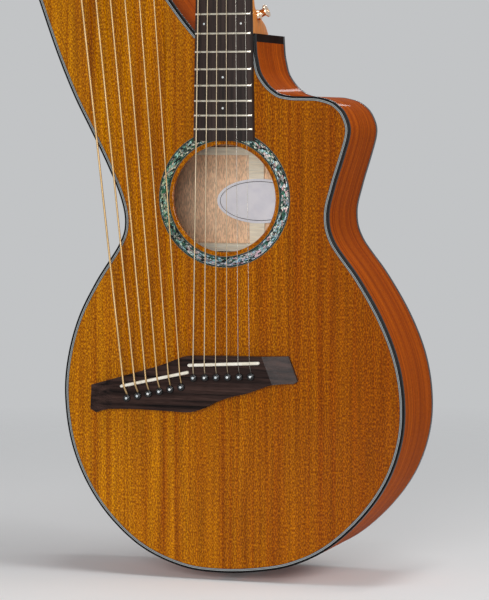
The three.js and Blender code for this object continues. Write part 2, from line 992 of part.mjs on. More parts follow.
function bridge() {
  const plan = solid(slab(bridgeShares.map(onBridge), bridgeTop - overrun, -fit));
  const profile = bridgeProfileShares.map(([across, high]) => {
    const height = wingTipHeight + (bridgeHeight - wingTipHeight) * high;
    return [bridgeLength * across, -(height + fit)];
  });
  const rings = [-scaleLength - bridgeWidth, -scaleLength + bridgeWidth].map((z) => {
    const top = profile.map(([x, y]) => new THREE.Vector3(x, y, z));
    const low = [profile[profile.length - 1], profile[0]];
    return [...top, ...low.map(([x]) => new THREE.Vector3(x, 0, z))];
  });
  const slots = [saddleEndShares, bassSaddleEndShares].map((ends) => {
    return solid(saddleBar(ends, saddleTop, bridgeTop + slotDepth, saddleThickness + 2 * fit, fit));
  });
  const block = plan.intersect(solid(loft(rings))).subtract(join(slots));
  return join([block, ...bridgePins()]);
}

// Profile of a pin's head, as shares of its radius and height
const pinProfileShares = [
  [0, -1],
  [0.6, -0.9],
  [1, -0.35],
  [0.9, 0.2],
  [0, 0.2],
];
const pinSides = 6;

// Pins seated in the bridge, one for each string
function bridgePins() {
  return [pinRowShares, bassPinRowShares].flatMap((row) => {
    return Array.from({ length: stringCount }, (_, i) => {
      const { x, y: z } = inRow(row, i);
      const profile = pinProfileShares.map(([r, h]) => {
        return new THREE.Vector2(pinRadius * r, pinHeight * h);
      });
      return solid(new THREE.LatheGeometry(profile, pinSides).translate(x, bridgeTop, z));
    });
  });
}

// Saddle with a crown narrower than its foot, so that the strings leave it cleanly
const saddleCrownShare = 0.3;
const saddleShoulderShare = 0.8;

function saddle(ends) {
  const from = onBridge(ends.bass);
  const to = onBridge(ends.treble);
  const along = to.clone().sub(from).normalize();
  const side = new THREE.Vector2(-along.y, along.x);
  const half = saddleThickness / 2;
  const foot = bridgeTop + slotDepth - fit;
  const shoulder = saddleTop + half * saddleShoulderShare;
  const section = [
    [-half, foot],
    [half, foot],
    [half, shoulder],
    [half * saddleCrownShare, saddleTop],
    [-half * saddleCrownShare, saddleTop],
    [-half, shoulder],
  ];
  const rings = [from, to].map((end) => {
    return section.map(([out, y]) => {
      return new THREE.Vector3(end.x + side.x * out, y, end.y + side.y * out);
    });
  });
  return solid(loft(rings));
}

// Bass nut across the end of the arm
const bassNutZ = armTipZ - bassNutInset - nutThickness;

function bassNut() {
  const half = bassNutSpread / 2 + nutThickness;
  return nutBar(bassNutCentreX, half, bassNutHeight, bassNutZ);
}

// Foot of the bass head where it leaves the arm, and the tenon that holds it inside
const bassFootHalf = 45;
const bassTenonLength = 46;

function bassHeadSlot() {
  const tenonHalf = bassFootHalf + fit;
  return solid(
    boxBetween(
      new THREE.Vector3(bassNutCentreX - tenonHalf, topThickness, armTipZ - bassTenonLength),
      new THREE.Vector3(
        bassNutCentreX + tenonHalf,
        bassHeadY + bassHeadThickness + fit,
        armTipZ + overrun,
      ),
    ),
  );
}

function bassHeadstock() {
  const start = bassNutInset + fit;
  const flank = bassColumnHalf + headMargin / Math.cos(bassColumnSlant);
  const lean = Math.tan(bassColumnSlant);
  const shoulder = bassNutInset + headMargin;
  const middle = firstTuner + tunerSpacing;
  const wide = flank + (middle - shoulder) * lean;
  const narrow = flank - (bassHeadLength * headCrownShares[0][1] - middle) * lean;
  const flat = headOutline(bassFootHalf, start, shoulder, wide, narrow, bassHeadLength);
  const tenon = boxBetween(
    new THREE.Vector3(-bassFootHalf, 0, bassNutInset - bassTenonLength),
    new THREE.Vector3(bassFootHalf, bassHeadThickness, start + fit),
  );
  const whole = solid(slab(flat, 0, bassHeadThickness)).add(solid(tenon));
  return drilledHead(shapeOf(whole), bassHeadThickness, bassColumns, bassHead);
}

// Strap button on the treble side of the heel, square to the wood where the heel begins to rise
const strapY = 20;
const strapRise = 19;
const strapZ = jointZ + strapRise;
const strapTilt = THREE.MathUtils.degToRad(25);
const strapRadius = 6.7;
const strapHeight = 9.5;
const strapScrewRadius = 2;

// Profile of the button, as shares of its radius and height
const strapProfileShares = [
  [0.8, 0],
  [0.57, 0.3],
  [0.57, 0.6],
  [1, 0.85],
  [0.8, 1],
  [0, 1],
];

// Half width of the neck at a height z and a depth below the fretboard
function neckHalfAt(z, depth) {
  const right = neckSection(z).filter((p) => p.x > 0).sort((a, b) => a.y - b.y);
  const above = right.findIndex((p) => p.y >= depth);
  if (above < 1) {
    return 0;
  }
  const a = right[above - 1];
  const b = right[above];
  return a.x + ((b.x - a.x) * (depth - a.y)) / (b.y - a.y);
}

// Middle of the button's foot, far enough out that the whole rim of the foot clears the heel
function strapFoot() {
  const footRadius = strapRadius * strapProfileShares[0][0];
  const reaches = circle(0, 0, footRadius, turnedSides).map(({ x: across, y: up }) => {
    const wood = neckHalfAt(strapZ + up * Math.cos(strapTilt), strapY + across);
    return wood + up * Math.sin(strapTilt);
  });
  return new THREE.Vector3(Math.max(...reaches) + fit, strapY, strapZ);
}

const strapAxis = new THREE.Vector3(Math.cos(strapTilt), 0, Math.sin(strapTilt));

function strapScrewHole() {
  const from = strapFoot().addScaledVector(strapAxis, -strapHeight - 2 * fit);
  const to = strapFoot().addScaledVector(strapAxis, strapHeight);
  return solid(rod(from, to, strapScrewRadius + fit, turnedSides));
}

function strapButton() {
  const button = strapProfileShares.map(([r, h]) => [strapRadius * r, strapHeight * h]);
  const profile = [
    [0, -strapHeight],
    [strapScrewRadius, -strapHeight],
    [strapScrewRadius, 0],
    ...button,
  ].map(([r, h]) => new THREE.Vector2(r, h));
  const turned = new THREE.LatheGeometry(profile, turnedSides);
  const { x, y, z } = strapFoot();
  return solid(turned.rotateZ(-Math.PI / 2).rotateY(-strapTilt).translate(x, y, z));
}

// Tuning machine sizes that follow from the gear pair
const gearRadius = (gearTeeth * gearModule) / 2;
const toothShare = 0.85;
const gapShare = 1.19;
const playShare = 0.12;
const toothHalfTurnShare = 0.11;
const gearOuter = gearRadius + gearModule * toothShare;
const gearRoot = gearRadius - gearModule * gapShare;
const wormTip = wormRadius + gearModule * toothShare;
const centreDistance = gearRadius + wormRadius + gearModule * playShare;
const wormLead = Math.PI * gearModule;
const hubMargin = 1.2;
const postWaistShare = 0.5;
const earThickness = 1.6;
const earPlace = wormLength / 2 + earThickness / 2 + fit;
const earMargin = 0.5;
const earWidth = 2 * (wormTip + earMargin);
const knobClearance = 4.2;
const knobStart = headMargin + knobClearance;

// Depths below the front face of a head of a given thickness
function machineDepths(thickness) {
  const plateFront = thickness + fit;
  const plateBack = plateFront + plateThickness;
  const wormAxis = plateBack + fit + wormTip;
  return { plateFront, plateBack, wormAxis, gearFront: wormAxis - gearThickness / 2 };
}

// Gear wheel of the post: pointed gaps between blunt teeth, one tooth centred on +Y
function gearOutline() {
  const points = [];
  const corners = [
    [gearOuter, -toothHalfTurnShare],
    [gearOuter, toothHalfTurnShare],
    [gearRoot, 0.5],
  ];
  for (let i = 0; i < gearTeeth; i++) {
    const middle = Math.PI / 2 + (2 * Math.PI * i) / gearTeeth;
    for (const [radius, turnShare] of corners) {
      const angle = middle + (2 * Math.PI * turnShare) / gearTeeth;
      points.push(new THREE.Vector2(radius * Math.cos(angle), radius * Math.sin(angle)));
    }
  }
  return points;
}

// Post and gear wheel in one, on the local Z axis, front of the head at zero
function postSolid(thickness) {
  const { plateBack, gearFront } = machineDepths(thickness);
  const shoulder = postRadius + postShoulder;
  const hub = shoulder + hubMargin;
  const profile = [
    [0, -postHeight],
    [postRadius, -postHeight],
    [postRadius, -postRadius * postWaistShare],
    [shoulder, 0],
    [shoulder, plateBack + fit],
    [hub, plateBack + fit],
    [hub, gearFront + gearThickness / 2],
    [0, gearFront + gearThickness / 2],
  ].map(([r, h]) => new THREE.Vector2(r, h));
  const turned = new THREE.LatheGeometry(profile, postSides).rotateX(Math.PI / 2);
  const wheel = new THREE.ExtrudeGeometry(new THREE.Shape(gearOutline()), {
    depth: gearThickness,
    bevelEnabled: false,
  });
  return solid(turned).add(solid(wheel.translate(0, 0, gearFront)));
}

// Worm thread: a triangular ridge on a right-handed helix about X, its gap facing the wheel
const threadSteps = 8;
const threadTurns = 2;
const threadRootShare = 0.8;
const threadWidthShare = 0.26;

function wormThread() {
  const count = Math.round(threadSteps * threadTurns);
  const root = shaftRadius * threadRootShare;
  const width = wormLead * threadWidthShare;
  const rings = Array.from({ length: count + 1 }, (_, i) => {
    const angle = (2 * Math.PI * (i - count / 2)) / threadSteps;
    const x = (wormLead * (i - count / 2)) / threadSteps;
    return [[-width, root], [0, wormTip], [width, root]].map(([shift, radius]) => {
      const y = radius * Math.cos(angle);
      const z = radius * Math.sin(angle);
      return new THREE.Vector3(x + shift, y, z);
    });
  });
  return solid(loft(rings));
}

// Profile of a button, as shares of its width and of half its length
const knobProfileShares = [
  [0, -1],
  [0.25, -1],
  [0.5, 0],
  [0.4, 0.8],
  [0, 1],
];
const shaftSides = 6;

// Worm, shaft and button in one, on the local X axis
function knobSolid(mirrorPhase) {
  const shaft = rod(
    new THREE.Vector3(-earPlace - earThickness, 0, 0),
    new THREE.Vector3(knobStart + knobLength / 2, 0, 0),
    shaftRadius,
    shaftSides,
  );
  const half = knobLength / 2;
  const profile = knobProfileShares.map(([r, h]) => new THREE.Vector2(knobWidth * r, half * h));
  const button = new THREE.LatheGeometry(profile, postSides)
    .rotateZ(-Math.PI / 2)
    .scale(1, 1, knobThickness / knobWidth)
    .translate(knobStart + half, 0, 0);
  const whole = join([solid(shaft), wormThread(), solid(button)]);
  const made = shapeOf(whole);
  return mirrorPhase ? made.rotateX(Math.PI) : made;
}

// Base plate of three machines with the ears that carry the worm shafts
function plateSolid(thickness, wormSide) {
  const { plateFront, plateBack, wormAxis } = machineDepths(thickness);
  const half = plateWidth / 2;
  const reach = tunerSpacing + half + centreDistance;
  const corner = plateWidth / 4;
  const outlineOfPlate = new THREE.Shape([
    new THREE.Vector2(-half, -reach + corner),
    new THREE.Vector2(-half + corner, -reach),
    new THREE.Vector2(half - corner, -reach),
    new THREE.Vector2(half, -reach + corner),
    new THREE.Vector2(half, reach - corner),
    new THREE.Vector2(half - corner, reach),
    new THREE.Vector2(-half + corner, reach),
    new THREE.Vector2(-half, reach - corner),
  ]);
  const plate = new THREE.ExtrudeGeometry(outlineOfPlate, { depth: plateThickness, bevelEnabled: false });
  let made = solid(plate.translate(0, 0, plateFront));
  for (const k of [-1, 0, 1]) {
    const y = k * tunerSpacing;
    const hole = rod(
      new THREE.Vector3(0, y, plateFront - overrun),
      new THREE.Vector3(0, y, plateBack + overrun),
      postRadius + postShoulder + fit,
      postSides,
    );
    const wormY = y + wormSide * centreDistance;
    const ears = [-1, 1].map((s) => {
      return solid(
        boxBetween(
          new THREE.Vector3(s * earPlace - earThickness / 2, wormY - earWidth / 2, plateBack - fit),
          new THREE.Vector3(s * earPlace + earThickness / 2, wormY + earWidth / 2, wormAxis + wormTip),
        ),
      );
    });
    const bore = rod(
      new THREE.Vector3(-earPlace - overrun, wormY, wormAxis),
      new THREE.Vector3(earPlace + overrun, wormY, wormAxis),
      shaftRadius + fit,
      shaftSides,
    );
    made = made.add(join(ears)).subtract(join([solid(hole), solid(bore)]));
  }
  return made;
}

// Strings: a route of chosen points, each with its own step along the tube
class Route extends THREE.Curve {
  constructor(points) {
    super();
    this.points = points;
  }

  indexAt(share) {
    return Math.round(share * (this.points.length - 1));
  }

  getPoint(share, target = new THREE.Vector3()) {
    return target.copy(this.points[this.indexAt(share)]);
  }

  getPointAt(share, target) {
    return this.getPoint(share, target);
  }

  getSpacedPoints() {
    return this.points.map((p) => p.clone());
  }

  getTangentAt(share, target = new THREE.Vector3()) {
    const i = this.indexAt(share);
    const before = this.points[Math.max(i - 1, 0)];
    const after = this.points[Math.min(i + 1, this.points.length - 1)];
    return target.copy(after).sub(before).normalize();
  }
}

const stringSides = 5;
const turnSteps = 8;

function tubeAlong(points, diameter) {
  const section = new THREE.Shape(circle(0, 0, diameter / 2, stringSides));
  return new THREE.ExtrudeGeometry(section, {
    steps: points.length - 1,
    bevelEnabled: false,
    extrudePath: new Route(points),
  });
}

// Winding round a post, in head coordinates, from the tangent point to a straight free end
function winding(post, side, start, diameter) {
  const radius = postRadius + postShoulder + fit + diameter / 2;
  const pitch = diameter + windingGap;
  const level = -(postRadius + diameter / 2);
  const reach = new THREE.Vector2(start.x - post.x, start.z - post.z);
  const base = Math.atan2(reach.y, reach.x) - side * Math.acos(radius / reach.length());
  const steps = windingTurns * turnSteps;
  const points = Array.from({ length: steps + 1 }, (_, i) => {
    const angle = base - (side * 2 * Math.PI * i) / turnSteps;
    const y = level - (pitch * i) / turnSteps;
    const x = post.x + radius * Math.cos(angle);
    return new THREE.Vector3(x, y, post.z + radius * Math.sin(angle));
  });
  const last = points[steps];
  const ahead = last.clone().sub(points[steps - 1]).setLength(diameter);
  return [...points, last.clone().add(ahead)];
}

// Least distance between the loops of a winding, less the string's own thickness
function leastGap(points, diameter) {
  let least = Infinity;
  for (let i = 0; i < points.length; i++) {
    for (let j = i + turnSteps / 2; j < points.length; j++) {
      least = Math.min(least, points[i].distanceTo(points[j]));
    }
  }
  return least - diameter;
}

// One string: from its pin, over the saddle and the nut, and round its post
function stringRoute(i, set) {
  const { pins, saddleEnds, saddleMiddle, spread, nutX, nutY, nutZ, diameters, columns, frame } = set;
  const diameter = diameters[i];
  const rise = diameter / 2 + fit;
  const pin = inRow(pins, i);
  const x = spreadAt(saddleMiddle, spread, i, stringCount);
  const from = onBridge(saddleEnds.bass);
  const to = onBridge(saddleEnds.treble);
  const z = from.y + ((to.y - from.y) * (x - from.x)) / (to.x - from.x);
  const over = new THREE.Vector3(x, saddleTop - rise, z);
  const onNut = new THREE.Vector3(nutX(i), nutY - rise, nutZ);
  const anchor = new THREE.Vector3(pin.x, bridgeTop - rise, pin.y + pinRadius + rise);
  const lowSide = i < stringCount / 2;
  const column = columns.find(({ side }) => side === (lowSide ? -1 : 1));
  const order = lowSide ? i : stringCount - 1 - i;
  const inverse = frame.clone().invert();
  const start = onNut.clone().applyMatrix4(inverse);
  const turns = winding(column.posts[order], column.side, start, diameter);
  const gap = leastGap(turns, diameter);
  const wound = turns.map((p) => p.clone().applyMatrix4(frame));
  const half = over.clone().lerp(onNut, 0.5);
  return { points: [anchor, over, half, onNut, ...wound], diameter, gap };
}

const mainSet = {
  name: "main",
  pins: pinRowShares,
  saddleEnds: saddleEndShares,
  saddleMiddle: saddleCentreX,
  spread: saddleSpread,
  nutX: (i) => spreadAt(0, nutSpread, i, stringCount),
  nutY: -nutHeight,
  nutZ: nutThickness * nutCrestShare,
  diameters: mainStringDiameters,
  columns: mainColumns,
  frame: mainHead,
};
const bassSet = {
  name: "bass",
  pins: bassPinRowShares,
  saddleEnds: bassSaddleEndShares,
  saddleMiddle: bassSaddleCentreX,
  spread: bassSaddleSpread,
  nutX: (i) => spreadAt(bassNutCentreX, bassNutSpread, i, stringCount),
  nutY: -bassNutHeight,
  nutZ: bassNutZ + nutThickness * nutCrestShare,
  diameters: bassStringDiameters,
  columns: bassColumns,
  frame: bassHead,
};

// Materials
function finish(color, roughness, metalness = 0) {
  return new THREE.MeshStandardMaterial({ color, roughness, metalness });
}

const topWood = finish(0xb6780e, 0.25);
const sideWood = finish(0x783a0c, 0.3);
const backWood = finish(0x7a3f16, 0.3);
const braceWood = finish(0xd9b37a, 0.8);
const darkWood = finish(0x2e2622, 0.6);
const bridgeWood = finish(0x1c1512, 0.5);
const blackPlastic = finish(0x0b0b0c, 0.25);
const bone = finish(0xece6d2, 0.4);
const pearl = finish(0x9fc4b4, 0.2);
const gold = finish(0xc9a24a, 0.3, 1);
const steel = finish(0xb9b9b6, 0.3, 1);
const bronze = finish(0xa9743c, 0.4, 1);

const guitar = new THREE.Group();

// Adds one named piece
function place(parent, name, geometry, material) {
  const mesh = new THREE.Mesh(geometry, material);
  mesh.name = name;
  parent.add(mesh);
  return mesh;
}

const [bassRib, trebleRib] = ribs();
place(guitar, "soundboard", shapeOf(soundboard()), topWood);
place(guitar, "back_plate", shapeOf(backPlate()), backWood);
place(guitar, "bass_rib", shapeOf(bassRib), sideWood);
place(guitar, "treble_rib", shapeOf(trebleRib), sideWood);
place(guitar, "top_binding", shapeOf(topBinding()), blackPlastic);
place(guitar, "back_binding", shapeOf(backBinding()), blackPlastic);
place(guitar, "rosette", shapeOf(rosette()), pearl);
place(guitar, "top_bracing", shapeOf(topBracing()), braceWood);
place(guitar, "back_bracing", shapeOf(backBracing()), braceWood);
place(guitar, "tail_block", shapeOf(tailBlock()), braceWood);
place(guitar, "end_jack", shapeOf(endJack()), steel);
place(guitar, "neck", shapeOf(neck()), sideWood);
place(guitar, "fretboard", shapeOf(fretboard()), darkWood);
place(guitar, "main_nut", shapeOf(nutBar(0, nutWidth / 2, nutHeight, 0)), bone);
place(guitar, "bridge", shapeOf(bridge()), bridgeWood);
place(guitar, "main_saddle", shapeOf(saddle(saddleEndShares)), bone);
place(guitar, "bass_saddle", shapeOf(saddle(bassSaddleEndShares)), bone);
place(guitar, "bass_headstock", shapeOf(bassHeadstock()), sideWood);
place(guitar, "bass_nut", shapeOf(bassNut()), bone);
place(guitar, "strap_button", shapeOf(strapButton()), gold);

// Tuning machines: a plate to each column, then a post and a knob to each string
const sideNames = new Map([[1, "treble"], [-1, "bass"]]);

function addMachines(columns, frame, thickness) {
  const head = new THREE.Group();
  head.applyMatrix4(frame);
  for (const { name, side, slant, middle, posts } of columns) {
    const group = new THREE.Group();
    const outward = new THREE.Vector3(side * Math.cos(slant), 0, Math.sin(slant));
    const back = new THREE.Vector3(0, 1, 0);
    const across = new THREE.Vector3().crossVectors(back, outward);
    group.applyMatrix4(new THREE.Matrix4().makeBasis(outward, across, back));
    group.position.copy(middle);
    place(group, `${name}_${sideNames.get(side)}_plate`, shapeOf(plateSolid(thickness, side)), gold);
    const { wormAxis } = machineDepths(thickness);
    posts.forEach((_, order) => {
      const number = side < 0 ? stringCount - order : order + 1;
      const down = -side * (order - 1) * tunerSpacing;
      const post = place(group, `${name}_post_${number}`, shapeOf(postSolid(thickness)), gold);
      post.position.set(0, down, 0);
      const knob = place(group, `${name}_knob_${number}`, knobSolid(side < 0), gold);
      knob.position.set(0, down + side * centreDistance, wormAxis);
    });
    head.add(group);
  }
  guitar.add(head);
}

addMachines(mainColumns, mainHead, headThickness);
addMachines(bassColumns, bassHead, bassHeadThickness);

let tightest = Infinity;
for (const set of [mainSet, bassSet]) {
  for (let i = 0; i < stringCount; i++) {
    const { points, diameter, gap } = stringRoute(i, set);
    tightest = Math.min(tightest, gap);
    place(guitar, `${set.name}_string_${stringCount - i}`, tubeAlong(points, diameter), bronze);
  }
}
console.log(`least gap between the loops of a winding: ${tightest.toFixed(2)} mm`);

export default guitar;
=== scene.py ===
# %% [markdown]
# # A harp guitar, dressed from its measured frame
# A harp guitar is an ordinary six-string guitar with a second, hollow arm that carries sub-bass
# strings beside the neck. This notebook puts fine surfaces and finishes on a model whose sizes and
# joints are already settled. The frame is loaded first, because every piece below is placed by it.

import math

import bmesh
import bpy
import numpy as np
from mathutils import Matrix, Vector
from mathutils.geometry import tessellate_polygon


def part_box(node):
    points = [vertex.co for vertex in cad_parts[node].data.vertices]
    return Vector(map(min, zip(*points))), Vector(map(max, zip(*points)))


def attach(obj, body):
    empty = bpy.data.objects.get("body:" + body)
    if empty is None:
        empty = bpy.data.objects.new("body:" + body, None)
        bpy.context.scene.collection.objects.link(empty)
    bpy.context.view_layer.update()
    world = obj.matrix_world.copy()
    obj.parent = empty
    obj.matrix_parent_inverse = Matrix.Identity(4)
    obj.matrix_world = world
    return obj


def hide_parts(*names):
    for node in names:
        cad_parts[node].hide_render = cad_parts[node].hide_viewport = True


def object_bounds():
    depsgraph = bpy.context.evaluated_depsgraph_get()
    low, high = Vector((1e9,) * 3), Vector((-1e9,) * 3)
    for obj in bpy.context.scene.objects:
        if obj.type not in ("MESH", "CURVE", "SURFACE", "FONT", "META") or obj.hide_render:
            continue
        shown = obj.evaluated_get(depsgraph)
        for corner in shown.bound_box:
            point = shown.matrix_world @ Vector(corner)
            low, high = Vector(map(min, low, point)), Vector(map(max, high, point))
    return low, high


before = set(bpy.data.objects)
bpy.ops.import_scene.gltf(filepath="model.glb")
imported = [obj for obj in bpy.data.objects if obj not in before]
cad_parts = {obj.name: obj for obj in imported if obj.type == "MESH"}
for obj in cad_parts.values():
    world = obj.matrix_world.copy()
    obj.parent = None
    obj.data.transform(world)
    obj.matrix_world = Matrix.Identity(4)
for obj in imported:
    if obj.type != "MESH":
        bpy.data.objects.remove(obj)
cad_box = [list(map(float, corner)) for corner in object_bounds()]
MM = 0.001

# %% [markdown]
# ## Camera
# The photograph was taken with a long lens, a little to the treble side and a little above the
# middle of the body. A camera could be placed by eye, but here it follows from two angles, a
# distance and a focal length, so that the picture can be laid over the photograph. It comes first,
# because every later piece and finish is judged through it.

# %% Camera
yaw, drop, distance, focal_pixels = 0.31965, 0.06402, 2.616163, 2683.948
target = np.array([0.019929, 0.0, -0.574720])
image_height, sensor = 600, 36
forward = np.array([
    -math.sin(yaw) * math.cos(drop), math.cos(yaw) * math.cos(drop), -math.sin(drop),
])
rightward = np.array([math.cos(yaw), math.sin(yaw), 0.0])
upward = np.cross(rightward, forward)
eye = target - distance * forward

camera_data = bpy.data.cameras.new("camera")
camera_data.sensor_width = sensor
camera_data.lens = sensor * focal_pixels / image_height
camera_data.clip_start, camera_data.clip_end = 0.05, 60
camera = bpy.data.objects.new("camera", camera_data)
bpy.context.scene.collection.objects.link(camera)
turn = np.stack([rightward, upward, -forward], 1)
camera.matrix_world = Matrix([*np.column_stack([turn, eye]).tolist(), [0, 0, 0, 1]])
bpy.context.scene.camera = camera
bpy.context.scene.view_settings.view_transform = "Standard"
print("lens", round(camera_data.lens, 1), "mm")

# %% [markdown]
# ## Outline of body and arm
# The soundboard's edge runs from the neck up the inner side of the arm, over its end, down past
# the waist to the tail, and back up to the cutaway. It could be traced with curve handles. A short
# list of places with a smooth curve through them is easier to read, and it is the outline of the
# frame. Each row of the list has two driving sizes, across and along, and the places as shares of
# them. Sizes here are in millimetres, with Z up the neck, X to the treble side and Y to the back.

# %% Places on the outline
joint_z, joint_width, cut_gap = -316.0, 57.5, 0.05
body_length, arm_length, arm_reach = 528.2, 425.0, 219.2
bass_waist, bass_bout, treble_bout, treble_waist = 104.7, 169.2, 180.7, 104.5
horn_reach, horn_depth = 125.2, 60.0
corner_x = horn_reach * 0.2412
tail_z, arm_tip = joint_z - body_length, joint_z + arm_length

outline_shares = [
    (-arm_reach, arm_length, [
        (0.21, 0.045), (0.305, 0.115), (0.388, 0.205), (0.438, 0.32), (0.456, 0.45),
        (0.452, 0.59), (0.428, 0.735), (0.392, 0.87), (0.372, 0.955), (0.42, 0.992),
        (0.53, 1), (0.655, 1), (0.79, 1), (0.9, 0.99), (0.945, 0.95), (0.968, 0.85),
        (0.99, 0.7), (1, 0.55), (0.998, 0.4), (0.975, 0.26), (0.934, 0.15), (0.882, 0.07),
    ]),
    (-bass_waist, -body_length, [
        (1.681, 0.034), (1.513, 0.112), (1.362, 0.17), (1.188, 0.237), (1.045, 0.302),
        (1, 0.35), (1.06, 0.39),
    ]),
    (-bass_bout, -body_length, [
        (0.8, 0.46), (0.914, 0.53), (0.982, 0.606), (1, 0.68), (0.961, 0.766),
        (0.862, 0.843), (0.71, 0.909), (0.508, 0.962), (0.262, 0.993), (0.03, 1),
    ]),
    (treble_bout, -body_length, [
        (0.2, 0.994), (0.39, 0.979), (0.58, 0.946), (0.77, 0.887), (0.908, 0.82),
        (0.984, 0.747), (1, 0.675), (0.965, 0.598), (0.878, 0.522), (0.752, 0.448),
    ]),
    (treble_waist, -body_length, [(1.055, 0.38), (1, 0.332), (1.058, 0.28)]),
    (horn_reach, -body_length, [
        (0.955, 0.226), (0.998, 0.19), (1, 0.168), (0.959, 0.1443), (0.903, 0.1304),
        (0.847, 0.1225),
    ]),
    (horn_reach, -horn_depth, [
        (0.741, 1.023), (0.641, 1.015), (0.547, 1.01), (0.456, 0.98), (0.417, 0.942),
        (0.373, 0.875), (0.329, 0.78), (0.282, 0.625), (0.26, 0.438), (0.249, 0.312),
        (0.2436, 0.133),
    ]),
]
print("places", sum(len(shares) for _, _, shares in outline_shares))

# %% [markdown]
# ## Curves through points
# A bent board has no corners, so the outline is a Catmull-Rom curve: it passes through its points
# and leaves each in the direction of its two neighbours. Blender's own curves are steered by
# handles instead, so the formula is written out. The curve is then walked at even steps, so that
# its points lie equally far apart.

# %% Curves


def through(points, count):
    """Uniform Catmull-Rom curve through the points, sampled at count even parameters.

    Between p1 and p2 at share w it is
    (2 p1 - 2 p2 + v0 + v1) w^3 + (-3 p1 + 3 p2 - 2 v0 - v1) w^2 + v0 w + p1,
    where v0 is half of p2 - p0 and v1 is half of p3 - p1.
    """
    points = np.asarray(points, float)
    last = len(points) - 1
    place = np.linspace(0, last, count)
    i = np.minimum(place.astype(int), last - 1)
    w = (place - i)[:, None]
    p0, p1 = points[np.maximum(i - 1, 0)], points[i]
    p2, p3 = points[np.minimum(i + 1, last)], points[np.minimum(i + 2, last)]
    v0, v1 = (p2 - p0) / 2, (p3 - p1) / 2
    cubic, square = 2 * p1 - 2 * p2 + v0 + v1, -3 * p1 + 3 * p2 - 2 * v0 - v1
    return cubic * w**3 + square * w**2 + v0 * w + p1


def lengths(points):
    """Length along a line at each of its points: the running sum of the steps between them."""
    return np.concatenate([[0], np.cumsum(np.linalg.norm(np.diff(points, axis=0), axis=1))])


def evenly(points, count):
    """The same line walked at count even steps of its length."""
    run = lengths(points)
    at = np.linspace(0, run[-1], count)
    return np.stack([np.interp(at, run, column) for column in points.T], 1)


square = np.array([(0.0, 0.0), (1.0, 0.0), (1.0, 1.0), (0.0, 1.0)])
print("the way along three sides of a square:", lengths(square)[-1])

# %% Body outline


def body_outline(count=900):
    """Outline of body and arm from the bass side of the neck's slot round to its treble side."""
    keys = [(-corner_x, joint_z)]
    for width, length, shares in outline_shares:
        keys += [(width * across, joint_z + length * along) for across, along in shares]
    keys.append((corner_x, joint_z))
    curve = evenly(through(keys, 4000), count)
    slot = joint_width / 2 + cut_gap
    return np.concatenate([[(-slot, joint_z)], curve, [(slot, joint_z)]])


outline = body_outline()
print("outline", len(outline), "points,", round(lengths(outline)[-1]), "mm")

# %% [markdown]
# ## Bands round the body
# Ribs, binding and purfling all follow the outline at a constant distance from it, as a maker's
# strips do. A bevelled curve could carry them, but its corners would drift. Here a small section is
# carried along the outline, and every point of the section has its own inset line and depth.
# Depths on the back count from the back plate, which slopes down to the tail.

# %% Insets and bands
joint_depth, tail_depth = 98.0, 120.0


def depth_at(z):
    """Depth of the back's outer face, rising evenly from the neck joint to the tail."""
    return joint_depth + (tail_depth - joint_depth) * (joint_z - z) / body_length


def inset(line, amount):
    """Closed line moved inwards: a corner moves by amount * (n1 + n2) / (1 + n1 . n2).

    n1 and n2 are the inward normals of the corner's two edges.
    """
    step = np.roll(line, -1, 0) - line
    step = step / np.linalg.norm(step, axis=1, keepdims=True)
    second = np.stack([-step[:, 1], step[:, 0]], 1)
    first = np.roll(second, 1, 0)
    return line + (first + second) * amount / (1 + np.sum(first * second, axis=1, keepdims=True))


def band(section, line=outline):
    """Grid of points with a row for each place on the line and a column for each section point.

    A section point is (inset, depth, whether the depth counts from the back).
    """
    columns = []
    for amount, depth, from_back in section:
        x, z = inset(line, amount).T
        y = depth_at(z) + depth if from_back else np.full_like(x, depth)
        columns.append(np.stack([x, y, z], 1))
    return np.stack(columns, 1)


print("depth at the tail", round(depth_at(tail_z)), "mm")

# %% [markdown]
# ## From points to a piece
# Every piece below is a pair: an array of points, and faces that name their corners by number. One
# function turns such a pair into an object. It scales millimetres to metres, merges doubled
# points, turns the faces outwards, and marks edges sharper than a given angle, so that flats stay
# flat and rounds stay smooth. It also hangs the piece on the body it moves with, hides the frame's
# node that it stands for, and gives it its finish. Doing this in one place keeps all pieces alike.

# %% Piece maker
made_triangles = {}
weld, bevel_angle = 2e-6, math.radians(35)


def piece(name, shape, material, slot, node=None, body="body", uv=None, sharp=38, bevel=0):
    """Object from (points, faces) in millimetres; uv holds a pair of millimetres for each point."""
    points, faces = shape
    mesh = bpy.data.meshes.new(name)
    mesh.from_pydata((np.asarray(points, float).reshape(-1, 3) * MM).tolist(), [], faces)
    if uv is not None:
        corners = np.empty(len(mesh.loops), int)
        mesh.loops.foreach_get("vertex_index", corners)
        layer = mesh.uv_layers.new(name="run")
        layer.data.foreach_set("uv", (np.asarray(uv, float).reshape(-1, 2)[corners] * MM).ravel())
    work = bmesh.new()
    work.from_mesh(mesh)
    bmesh.ops.remove_doubles(work, verts=work.verts, dist=weld)
    bmesh.ops.recalc_face_normals(work, faces=work.faces)
    work.to_mesh(mesh)
    work.free()
    mesh.shade_smooth()
    mesh.set_sharp_from_angle(angle=math.radians(sharp))
    for each in material if isinstance(material, list) else [material]:
        mesh.materials.append(each)
    thing = bpy.data.objects.new(name, mesh)
    bpy.context.scene.collection.objects.link(thing)
    if bevel:
        rounded = thing.modifiers.new("edge", "BEVEL")
        rounded.width, rounded.segments, rounded.limit_method = bevel * MM, 2, "ANGLE"
        rounded.angle_limit = bevel_angle
    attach(thing, body)
    if node:
        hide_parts(node)
    mesh.calc_loop_triangles()
    made_triangles[name] = len(mesh.loop_triangles)
    return thing


print("pieces so far", len(made_triangles))

